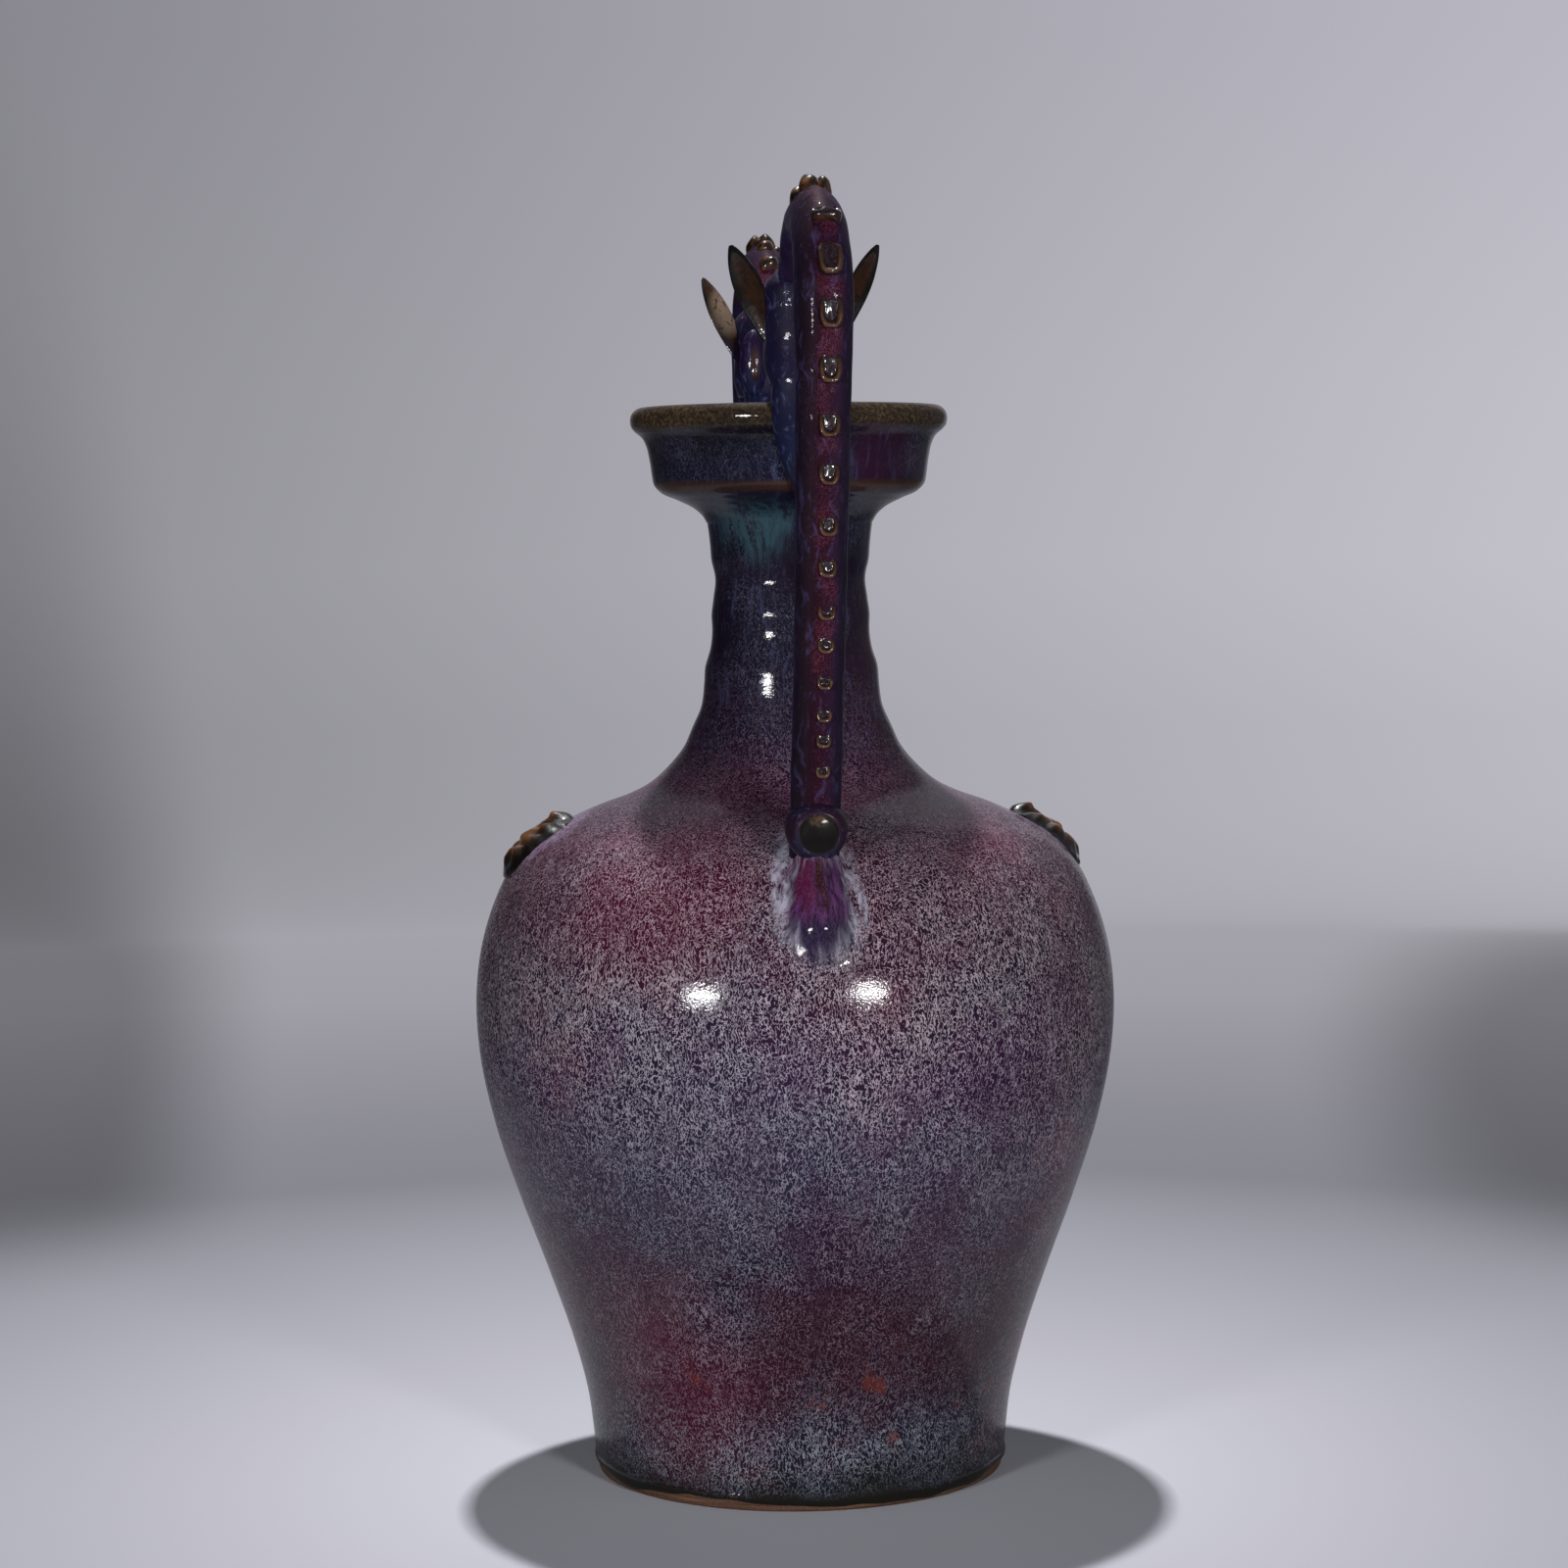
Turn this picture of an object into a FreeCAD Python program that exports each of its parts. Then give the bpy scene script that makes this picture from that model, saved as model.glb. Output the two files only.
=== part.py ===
import FreeCAD, Part
import math
import os
from FreeCAD import Vector

# Lengths are millimetres and angles are degrees.
# Z is up, the vase stands on Z = 0, the dragons face each other along X, the medallions lie along Y.

# Foot and floor
foot_radius = 64.5
foot_flare = 1.0
foot_ring_height = 6.0
foot_ring_width = 11.0
foot_chamfer = 1.0
floor_thickness = 8.0

# Thrown body
belly_radius = 101.2
belly_height = 152.0
neck_base_radius = 46.0
neck_base_height = 218.0
body_wall = 5.5

# Neck
neck_waist_radius = 23.8
throat_height = 300.0
neck_wall = 4.6

# Dish mouth on the throat, and its rolled lip
dish_radius = 44.0
dish_height = 36.5
dish_wall = 4.4
lip_overhang = 6.0
lip_thickness = 7.2
lip_depth = 7.6

# Medallions
medallion_radius = 14.0
medallion_rise = 1.6
medallion_dome = 1.3
medallion_sink = 6.0
petal_count = 8
petal_radius = 3.9
petal_height = 2.4
petal_margin = 0.6
boss_radius = 3.6
boss_height = 1.7
stalk_radius = 2.6
stalk_height = 2.6

# Dragon handle: a bowed strut, then a round arch down to the head
handle_reach = 102.0
handle_root = 7.0
strut_half_width = 7.2
strut_back = 5.8
strut_belly = 5.4
arch_half_width = 8.9
arch_top_half_width = 8.5
arch_back = 8.4
arch_belly = 7.6
arch_end_angle = 158.0

# Tail knob
knob_radius = 9.0
knob_length = 9.4
knob_face_radius = 6.2
knob_lift = 9.4
knob_offset = 2.0

# Scutes along the back
scute_count = 14
scute_knob_clearance = 5.3
scute_crest_clearance = 4.8
scute_growth_share = 1.063
scute_small_length = 4.6
scute_small_width = 4.2
scute_small_height = 1.3
scute_large_length = 11.6
scute_large_width = 8.0
scute_large_height = 2.3
scute_sink = 2.8

# Crest beads
crest_radius = 3.7
crest_side_radius = 2.7
crest_side_offset = 5.2
crest_spacing = 10.4
forehead_bead_distance = 23.4
forehead_bead_radius = 3.3

# Head
head_overhang = 2.0
head_depth = 12.5
head_half_width = 12.0
jaw_line_rise = 4.5
snout_length = 19.0
chin_length = 33.0
ear_length = 33.0
ear_width = 12.0
ear_thickness = 4.4
ear_splay_angle = 20.0
ear_turn_angle = 40.0
ear_back_angle = 8.0
brow_half_height = 10.4
brow_half_width = 4.6
eye_half_height = 5.0
eye_half_width = 2.4

# The two dragons are hand-made and differ a little.
# head_height: from the lip to the middle of the arch's end. foot_drift: sideways shift of the tail.
right_dragon = {"name": "right", "turn": 0.0, "head_height": 37.9, "foot_drift": -2.5}
left_dragon = {"name": "left", "turn": 180.0, "head_height": 32.4, "foot_drift": 0.0}

# Outer wall between the named stations: share of the height, share of the way in radius.
FOOT_TO_BELLY_SHARES = [(0.131, 0.065), (0.237, 0.173), (0.401, 0.395), (0.566, 0.641), (0.729, 0.854),
                        (0.884, 0.98)]
BELLY_TO_NECK_SHARES = [(0.226, 0.03), (0.459, 0.117), (0.606, 0.205), (0.727, 0.33), (0.823, 0.51),
                        (0.903, 0.727), (0.952, 0.885)]
# Neck: share of the height, share of the base's spread over the waist. Three soft ribs.
NECK_SHARES = [(0.071, 0.70), (0.146, 0.475), (0.222, 0.345), (0.298, 0.225), (0.384, 0.178), (0.449, 0.160),
               (0.524, 0.080), (0.585, 0.054), (0.652, 0.060), (0.720, 0.028), (0.788, 0.0), (0.863, 0.055),
               (0.927, 0.072)]
throat_spread_share = 0.104
# Dish from the throat to the lip: share of the way from throat to dish radius, share of the dish's height.
DISH_OUTER_SHARES = [(0.112, 0.082), (0.235, 0.134), (0.413, 0.184), (0.654, 0.233), (0.855, 0.285),
                     (0.955, 0.35), (0.994, 0.438), (1.0, 0.575)]
DISH_INNER_SHARES = [(0.99, 0.70), (0.975, 0.56), (0.90, 0.44), (0.70, 0.365), (0.42, 0.30), (0.18, 0.19),
                     (0.05, 0.08)]
# Lip roll: share of the lip's thickness inwards, share of its depth downwards.
LIP_SHARES = {
    "underside": (0.22, 1.0),
    "edge": (0.0, 0.60),
    "top": (0.48, 0.0),
    "crown": (0.82, 0.14),
    "inner": (1.0, 0.42),
}
# Flare under the lip: share of the lip's overhang, share of its depth below its underside.
LIP_FLARE_SHARES = (0.2, 0.4)
# Medallion dome: share of its rise at half its radius
dome_shoulder_share = 0.76

# Handle section, one half: share of the half width, share of the back (+) or the belly (-).
KEELED_SHARES = [(0.0, 1.0), (0.45, 0.90), (0.78, 0.46), (0.97, -0.10), (0.88, -0.70), (0.47, -0.97),
                 (0.0, -1.0)]
ROUND_SHARES = [(0.0, 1.0), (0.48, 0.90), (0.86, 0.55), (1.0, 0.0), (0.86, -0.58), (0.48, -0.92),
                (0.0, -1.0)]
# Strut: share of the way up, share of the change from the strut's to the arch's section.
STRUT_SHARES = [(0.0, 0.0), (0.15, 0.02), (0.30, 0.05), (0.50, 0.15), (0.65, 0.25), (0.80, 0.46),
                (0.91, 0.78), (1.0, 1.0)]
# Arch: share of its turn, share of the change from its ends' width to its top's.
ARCH_SHARES = [(0.2, 0.25), (0.4, 0.85), (0.6, 1.0), (0.8, 0.6), (1.0, 0.0)]

# Scute: share of its length that stays level behind its proud lower edge
scute_lip_share = 0.2

# Head rings: share of the head's height, front, rear and half width as shares of the head's sizes.
SKULL_SHARES = [(0.73, 1.00, 0.74, 1.0), (0.48, 1.18, 0.76, 1.0), (0.28, 1.22, 0.66, 0.92)]
JAW_LINE_SHARES = (1.16, 0.54, 0.80)
# Jaws: share of the length down, setback towards the axis, half depth and half width.
SNOUT_SHARES = [(0.0, 0.62, 0.60, 0.80), (0.32, 0.94, 0.62, 0.77), (0.68, 1.22, 0.48, 0.66),
                (1.0, 1.34, 0.28, 0.44)]
CHIN_SHARES = [(0.0, -0.16, 0.50, 0.80), (0.15, -0.06, 0.54, 0.875), (0.33, 0.05, 0.52, 0.84),
               (0.48, 0.24, 0.48, 0.79), (0.67, 0.40, 0.40, 0.62), (0.88, 0.62, 0.28, 0.30),
               (1.0, 0.74, 0.14, 0.15)]

# Places on the shoulder: share of the way from the neck's root to the belly, along the wall.
tail_seat_share = 0.43
medallion_seat_share = 0.43

UP = Vector(0, 0, 1)
ORIGIN = Vector(0, 0, 0)
SIDE = Vector(0, 1, 0)
OUTWARD = Vector(1, 0, 0)
FULL_TURN = 360.0
HALF_TURN = 180.0
QUARTER_TURN = 90.0


def at(radius, height):
    return Vector(radius, 0, height)


def between(start, end, shares):
    """Points between two stations, from (height share, radius share) pairs."""
    points = []
    for height_share, radius_share in shares:
        radius = start.x + (end.x - start.x) * radius_share
        height = start.z + (end.z - start.z) * height_share
        points.append(at(radius, height))
    return points


def smooth_curve(points):
    curve = Part.BSplineCurve()
    curve.interpolate(points)
    return curve


def piece_of(curve, start, end):
    """The stretch of a curve between two of its points."""
    return Part.Edge(curve, curve.parameter(start), curve.parameter(end))


def turned(edges):
    """Solid of revolution about Z from a closed outline in the XZ plane."""
    outline = Part.Wire(Part.__sortEdges__(edges))
    return Part.Face(outline).revolve(ORIGIN, UP, FULL_TURN)


def inset(curve, points, walls):
    """Points moved inwards, square to the curve, by the wall at each."""
    inner = []
    for point, wall in zip(points, walls):
        along = curve.tangent(curve.parameter(point))[0]
        across = Vector(-along.z, 0, along.x)
        across.normalize()
        inner.append(point + across * wall)
    return inner


# Each thrown piece sits on the one below.
foot_ring_top_radius = foot_radius + foot_flare
dish_inner_radius = dish_radius - dish_wall
lip_radius = dish_radius + lip_overhang
lip_height = throat_height + dish_height

# Outline of the thrown wall, from the foot ring to the throat
foot_station = at(foot_ring_top_radius, foot_ring_height)
belly_station = at(belly_radius, belly_height)
neck_station = at(neck_base_radius, neck_base_height)
throat_radius = neck_waist_radius + (neck_base_radius - neck_waist_radius) * throat_spread_share
throat_station = at(throat_radius, throat_height)

lower_points = [foot_station] + between(foot_station, belly_station, FOOT_TO_BELLY_SHARES)
shoulder_points = [belly_station] + between(belly_station, neck_station, BELLY_TO_NECK_SHARES)
neck_points = [neck_station]
for height_share, spread_share in NECK_SHARES:
    radius = neck_waist_radius + (neck_base_radius - neck_waist_radius) * spread_share
    height = neck_base_height + (throat_height - neck_base_height) * height_share
    neck_points.append(at(radius, height))
neck_points.append(throat_station)
wall_points = lower_points + shoulder_points + neck_points
wall_curve = smooth_curve(wall_points)

# Inner side of the wall, level at the foot so that it stands flat on the ring
body_walls = [body_wall] * len(lower_points + shoulder_points)
neck_walls = [neck_wall] * len(neck_points)
hollow_points = inset(wall_curve, wall_points, body_walls + neck_walls)
hollow_points[0] = at(foot_ring_top_radius - body_wall, foot_ring_height)
hollow_curve = smooth_curve(hollow_points)

belly_index = wall_points.index(belly_station)
neck_index = wall_points.index(neck_station)
throat_index = len(wall_points) - 1


def thrown_wall(first, last):
    """Wall between two stations of the outline, its ends square to the wall."""
    outer_start = wall_points[first]
    outer_end = wall_points[last]
    inner_start = hollow_points[first]
    inner_end = hollow_points[last]
    edges = [piece_of(wall_curve, outer_start, outer_end), piece_of(hollow_curve, inner_start, inner_end)]
    edges.append(Part.makeLine(outer_start, inner_start))
    edges.append(Part.makeLine(outer_end, inner_end))
    return turned(edges)


def filled(curve, points):
    """Everything inside a wall's curve, as one solid down to its first point."""
    bottom = points[0]
    top = points[-1]
    edges = [piece_of(curve, bottom, top)]
    edges.append(Part.makeLine(at(0, bottom.z), bottom))
    edges.append(Part.makeLine(top, at(0, top.z)))
    edges.append(Part.makeLine(at(0, bottom.z), at(0, top.z)))
    return turned(edges)


def foot_ring():
    inner_radius = foot_radius - foot_ring_width
    corners = [
        at(inner_radius + foot_chamfer, 0),
        at(foot_radius - foot_chamfer, 0),
        at(foot_radius, foot_chamfer),
        at(foot_ring_top_radius, foot_ring_height),
        at(inner_radius, foot_ring_height),
        at(inner_radius, foot_chamfer),
    ]
    edges = [Part.makeLine(start, end) for start, end in zip(corners, corners[1:] + corners[:1])]
    return turned(edges)


def base_floor():
    """Slab on the foot ring that fills the wall's inside, so it follows the wall's curve."""
    slab = Part.makeCylinder(belly_radius, floor_thickness, at(0, foot_ring_height))
    return slab.common(filled(hollow_curve, hollow_points))


def dish_outlines():
    """Outer and inner edges of the dish, between the throat and the rolled lip."""
    lip = {}
    for name, (inward_share, down_share) in LIP_SHARES.items():
        lip[name] = at(lip_radius - lip_thickness * inward_share, lip_height - lip_depth * down_share)
    overhang_share, below_share = LIP_FLARE_SHARES
    flare = at(dish_radius + lip_overhang * overhang_share, lip["underside"].z - lip_depth * below_share)
    outer = [throat_station]
    for radius_share, height_share in DISH_OUTER_SHARES:
        radius = throat_radius + (dish_radius - throat_radius) * radius_share
        outer.append(at(radius, throat_height + dish_height * height_share))
    outer += [flare, lip["underside"]]
    throat_inner = hollow_points[-1]
    inner = [lip["inner"]]
    for radius_share, height_share in DISH_INNER_SHARES:
        radius = throat_inner.x + (dish_inner_radius - throat_inner.x) * radius_share
        inner.append(at(radius, throat_height + dish_height * height_share))
    inner.append(throat_inner)
    roll = [Part.Arc(lip["underside"], lip["edge"], lip["top"]).toShape()]
    roll.append(Part.Arc(lip["top"], lip["crown"], lip["inner"]).toShape())
    return smooth_curve(outer).toShape(), roll, smooth_curve(inner).toShape(), lip


def dish_mouth():
    outer, roll, inner, lip = dish_outlines()
    return turned([outer, inner, Part.makeLine(throat_station, hollow_points[-1])] + roll)


def dish_filled():
    """The dish with its hollow filled, to trim what lies against its outside."""
    outer, roll, inner, lip = dish_outlines()
    edges = [outer, roll[0], Part.makeLine(lip["top"], at(0, lip_height))]
    edges.append(Part.makeLine(at(0, lip_height), at(0, throat_height)))
    edges.append(Part.makeLine(at(0, throat_height), throat_station))
    return turned(edges)


def shoulder_seat(share):
    """Point on the shoulder and the direction square to it, by a share of the way from neck to belly."""
    start = wall_curve.parameter(neck_station)
    end = wall_curve.parameter(belly_station)
    place = start + (end - start) * share
    along = wall_curve.tangent(place)[0]
    across = Vector(along.z, 0, -along.x)
    across.normalize()
    return wall_curve.value(place), across


def spheroid(centre, half_width, half_height):
    """Ball stretched along Z."""
    ellipse = Part.Ellipse(Vector(0, 0, half_height), Vector(half_width, 0, 0), ORIGIN)
    half = Part.ArcOfEllipse(ellipse, 0, math.pi).toShape()
    ball = turned([half, Part.makeLine(Vector(0, 0, -half_height), Vector(0, 0, half_height))])
    ball.translate(centre)
    return ball


def bump(radius, angle, cap_radius, cap_height):
    """Ball that rises from the medallion's disc as a round cap of the given radius and height."""
    ball_radius = (cap_radius * cap_radius + cap_height * cap_height) / (2 * cap_height)
    ball = Part.makeSphere(ball_radius, at(radius, medallion_rise + cap_height - ball_radius))
    ball.rotate(ORIGIN, UP, angle)
    return ball


def medallion():
    """Rosette on the shoulder over +X: a low domed disc, a ring of petals, a boss and a stalk bead."""
    seat, normal = shoulder_seat(medallion_seat_share)
    edge = at(medallion_radius, medallion_rise)
    crown = at(0, medallion_rise + medallion_dome)
    shoulder = at(medallion_radius / 2, medallion_rise + medallion_dome * dome_shoulder_share)
    bottom = at(0, -medallion_sink)
    outline = [Part.makeLine(bottom, at(medallion_radius, -medallion_sink))]
    outline.append(Part.makeLine(at(medallion_radius, -medallion_sink), edge))
    outline.append(Part.Arc(edge, shoulder, crown).toShape())
    outline.append(Part.makeLine(crown, bottom))
    reliefs = [bump(0, 0, boss_radius, medallion_dome + boss_height)]
    petal_place = medallion_radius - petal_radius - petal_margin
    for index in range(petal_count):
        angle = FULL_TURN * index / petal_count
        reliefs.append(bump(petal_place, angle, petal_radius, petal_height))
    reliefs.append(bump(medallion_radius - stalk_radius / 2, HALF_TURN, stalk_radius, stalk_height))
    rosette = turned(outline).multiFuse(reliefs)
    tilt = math.degrees(math.atan2(normal.x, normal.z))
    rosette.rotate(ORIGIN, SIDE, tilt)
    rosette.translate(seat)
    return rosette.cut(filled(wall_curve, wall_points))


class Handle:
    """Centre line, section frames and head places of one dragon."""

    def __init__(self, dragon):
        self.seat = shoulder_seat(tail_seat_share)[0]
        self.head_radius = lip_radius + head_overhang
        self.arch_radius = (handle_reach - self.head_radius) / 2
        self.head_height = dragon["head_height"]
        self.foot_drift = dragon["foot_drift"]
        end_angle = math.radians(arch_end_angle)
        self.spring_height = lip_height + self.head_height - self.arch_radius * math.sin(end_angle)
        rise = self.spring_height - self.seat.z
        lean = handle_reach - self.seat.x
        self.bow_radius = (rise * rise + lean * lean) / (2 * lean)
        self.foot_angle = math.asin(rise / self.bow_radius)
        self.strut_length = self.bow_radius * self.foot_angle

    def strut_frame(self, length):
        """Centre and outward direction at a length up the strut from the shoulder."""
        angle = (length - self.strut_length) / self.bow_radius
        outward = Vector(math.cos(angle), 0, math.sin(angle))
        centre = at(handle_reach - self.bow_radius, self.spring_height) + outward * self.bow_radius
        drift = self.foot_drift * (1 - length / self.strut_length)
        return centre + SIDE * drift, outward

    def arch_frame(self, angle):
        turn = math.radians(angle)
        outward = Vector(math.cos(turn), 0, math.sin(turn))
        centre = at(handle_reach - self.arch_radius, self.spring_height) + outward * self.arch_radius
        return centre, outward

    def frame(self, length):
        """Frame at any length along the back, on the strut or on the arch."""
        if length <= self.strut_length:
            return self.strut_frame(length)
        beyond = (length - self.strut_length) / self.arch_radius
        return self.arch_frame(math.degrees(beyond))

    def growth(self, length):
        """Share of the change from the strut's section to the arch's at a length up the strut."""
        share = min(max(length / self.strut_length, 0), 1)
        for (low, low_growth), (high, high_growth) in zip(STRUT_SHARES, STRUT_SHARES[1:]):
            if share <= high:
                return low_growth + (high_growth - low_growth) * (share - low) / (high - low)
        return 1

    def back(self, length):
        return strut_back + (arch_back - strut_back) * self.growth(length)


def section_ring(centre, outward, half_width, front, rear, shares):
    """Closed smooth ring: front lies along outward, rear against it, the width along Y."""
    half = []
    for side_share, depth_share in shares:
        depth = front if depth_share > 0 else rear
        half.append((half_width * side_share, depth * depth_share))
    mirrored = [(-side, depth) for side, depth in reversed(half[1:-1])]
    points = [centre + SIDE * side + outward * depth for side, depth in half + mirrored]
    ring = Part.BSplineCurve()
    ring.interpolate(Points=points, PeriodicFlag=True)
    return Part.Wire(ring.toShape())


def dragon_body(handle, vessel):
    """Keeled strap from the shoulder up the strut and over the arch."""
    rings = []
    for way_share, growth in STRUT_SHARES:
        length = handle.strut_length * way_share
        if way_share == 0:
            length = -handle_root
        centre, outward = handle.strut_frame(length)
        half_width = strut_half_width + (arch_half_width - strut_half_width) * growth
        front = strut_back + (arch_back - strut_back) * growth
        rear = strut_belly + (arch_belly - strut_belly) * growth
        rings.append(section_ring(centre, outward, half_width, front, rear, KEELED_SHARES))
    for turn_share, top_share in ARCH_SHARES:
        centre, outward = handle.arch_frame(arch_end_angle * turn_share)
        half_width = arch_half_width + (arch_top_half_width - arch_half_width) * top_share
        rings.append(section_ring(centre, outward, half_width, arch_back, arch_belly, KEELED_SHARES))
    return Part.makeLoft(rings, True, False).cut(vessel)


def dragon_tail_knob(handle, vessel, body):
    """Rolled tail end: a round knob lying outwards, with a flatter end face."""
    centre = handle.strut_frame(knob_lift)[0]
    axis_start = Vector(centre.x - knob_radius + knob_offset, centre.y, handle.seat.z + knob_lift)
    length = knob_radius + knob_length
    profile = [
        Part.makeLine(Vector(0, 0, 0), Vector(knob_face_radius, 0, 0)),
        Part.Arc(Vector(knob_face_radius, 0, 0), Vector(knob_radius, 0, length / 2),
                 Vector(knob_face_radius, 0, length)).toShape(),
        Part.makeLine(Vector(knob_face_radius, 0, length), Vector(0, 0, length)),
        Part.makeLine(Vector(0, 0, length), Vector(0, 0, 0)),
    ]
    knob = turned(profile)
    knob.rotate(ORIGIN, SIDE, QUARTER_TURN)
    knob.translate(axis_start)
    return knob.cut(vessel).cut(body)


def scute(centre, outward, back, length, width, height):
    """Tongue-shaped wedge: flush at its upper end, proud at its lower end."""
    upward = outward.cross(SIDE)
    low = centre + outward * (back + height) - upward * (length / 2)
    root = centre + outward * (back - scute_sink)
    corners = [
        root - upward * (length / 2),
        low,
        low + upward * (length * scute_lip_share),
        root + upward * (length / 2) + outward * scute_sink,
        root + upward * (length / 2),
    ]
    profile = Part.Face(Part.makePolygon(corners + corners[:1]))
    profile.translate(SIDE * (-width / 2))
    wedge = profile.extrude(SIDE * width)
    reach = scute_sink + height
    tongue = Part.makeCylinder(1, 1)
    stretch = FreeCAD.Matrix()
    stretch.scale(width / 2, length / 2, reach)
    tongue = tongue.transformGeometry(stretch)
    turn = FreeCAD.Rotation(SIDE, upward, outward, "ZYX")
    tongue.Placement = FreeCAD.Placement(root, turn)
    return wedge.common(tongue)


def scute_places(handle):
    """Lengths up the back, from above the tail knob to short of the crest, in growing steps."""
    first = knob_lift + knob_radius + scute_knob_clearance + scute_small_length / 2
    crest_gap = crest_spacing + crest_side_radius + scute_crest_clearance + scute_large_length / 2
    last_angle = math.radians(QUARTER_TURN) - crest_gap / (handle.arch_radius + arch_back)
    last = handle.strut_length + handle.arch_radius * last_angle
    steps = [scute_growth_share ** index for index in range(scute_count - 1)]
    places = [first]
    for step in steps:
        places.append(places[-1] + (last - first) * step / sum(steps))
    return places


def dragon_scutes(handle, body):
    """Row of plates on the back, growing and spreading from the tail to the arch."""
    plates = []
    for index, length_up in enumerate(scute_places(handle)):
        centre, outward = handle.frame(length_up)
        share = index / (scute_count - 1)
        length = scute_small_length + (scute_large_length - scute_small_length) * share
        width = scute_small_width + (scute_large_width - scute_small_width) * share
        height = scute_small_height + (scute_large_height - scute_small_height) * share
        plate = scute(centre, outward, handle.back(length_up), length, width, height)
        plates.append(plate.cut(body))
    return Part.makeCompound(plates)


def dragon_crest(handle, body, head):
    """Glossy beads: three in a row over the arch, one at the side of them, one on the forehead."""
    beads = []
    ridge_radius = handle.arch_radius + arch_back
    step_angle = math.degrees(crest_spacing / ridge_radius)
    for index in (-1, 0, 1):
        centre, outward = handle.arch_frame(QUARTER_TURN + step_angle * index)
        radius = crest_radius if index == 0 else crest_side_radius
        beads.append(Part.makeSphere(radius, centre + outward * arch_back))
    centre, outward = handle.arch_frame(QUARTER_TURN)
    side_place = centre + outward * (arch_back - crest_side_radius / 2) - SIDE * crest_side_offset
    beads.append(Part.makeSphere(crest_side_radius, side_place))
    centre, outward = handle.arch_frame(QUARTER_TURN + math.degrees(forehead_bead_distance / ridge_radius))
    beads.append(Part.makeSphere(forehead_bead_radius, centre + outward * arch_back))
    return Part.makeCompound(beads).cut(body).cut(head)


def head_ring(handle, height, setback, front, rear, half_width):
    """Level ring of the head, its centre set back from the head's line towards the axis."""
    centre = at(handle.head_radius - setback, height)
    return section_ring(centre, -OUTWARD, half_width, front, rear, ROUND_SHARES)


def dragon_head(handle):
    """Skull from the arch's end down to the jaw line above the lip."""
    centre, outward = handle.arch_frame(arch_end_angle)
    rings = [section_ring(centre, outward, arch_half_width, arch_back, arch_belly, KEELED_SHARES)]
    for height_share, front_share, rear_share, width_share in SKULL_SHARES:
        height = lip_height + handle.head_height * height_share
        rings.append(head_ring(handle, height, 0, head_depth * front_share, head_depth * rear_share,
                               head_half_width * width_share))
    front_share, rear_share, width_share = JAW_LINE_SHARES
    rings.append(head_ring(handle, lip_height + jaw_line_rise, 0, head_depth * front_share,
                           head_depth * rear_share, head_half_width * width_share))
    return Part.makeLoft(rings, True, False)


def jaw(handle, length, shares):
    rings = []
    for down_share, setback_share, depth_share, width_share in shares:
        height = lip_height + jaw_line_rise - length * down_share
        depth = head_depth * depth_share
        rings.append(head_ring(handle, height, head_depth * setback_share, depth, depth,
                               head_half_width * width_share))
    return Part.makeLoft(rings, True, False)


def dragon_ear(handle, head, side):
    """Leaf-shaped ear beside the skull, pointed at both ends, splayed and turned."""
    tip = Vector(0, 0, ear_length)
    edge = Part.Arc(ORIGIN, Vector(ear_width / 2, 0, ear_length / 2), tip).toShape()
    leaf = turned([edge, Part.makeLine(tip, ORIGIN)])
    flatten = FreeCAD.Matrix()
    flatten.scale(1, ear_thickness / ear_width, 1)
    leaf = leaf.transformGeometry(flatten)
    leaf.rotate(ORIGIN, UP, side * (QUARTER_TURN - ear_turn_angle))
    leaf.rotate(ORIGIN, SIDE, ear_back_angle)
    leaf.rotate(ORIGIN, OUTWARD, -side * ear_splay_angle)
    root_height = lip_height + handle.head_height / 2 - ear_thickness / 2
    leaf.translate(Vector(handle.head_radius - head_depth / 2, side * (head_half_width - ear_thickness / 2),
                          root_height))
    return leaf.cut(head)


def face_pair(handle, depth, half_width, half_height, drop):
    """Two long beads side by side on the face."""
    beads = []
    height = lip_height + handle.head_height * SKULL_SHARES[1][0] - drop
    for side in (-1, 1):
        centre = Vector(handle.head_radius - depth, side * brow_half_width, height)
        beads.append(spheroid(centre, half_width, half_height))
    return beads


def dragon_face(handle, head):
    """Brows lie against the skull's face, and the eyes bulge from the brows' lower half."""
    face_depth = head_depth * SKULL_SHARES[1][1]
    brow_depth = face_depth - brow_half_width / 3
    eye_depth = face_depth + brow_half_width / 2
    brows = face_pair(handle, brow_depth, brow_half_width, brow_half_height, 0)
    eyes = face_pair(handle, eye_depth, eye_half_width, eye_half_height, eye_half_height / 2)
    brow_pieces = [brow.cut(head) for brow in brows]
    eye_pieces = [eye.cut(brow).cut(head) for eye, brow in zip(eyes, brows)]
    return Part.makeCompound(brow_pieces), Part.makeCompound(eye_pieces)


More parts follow.
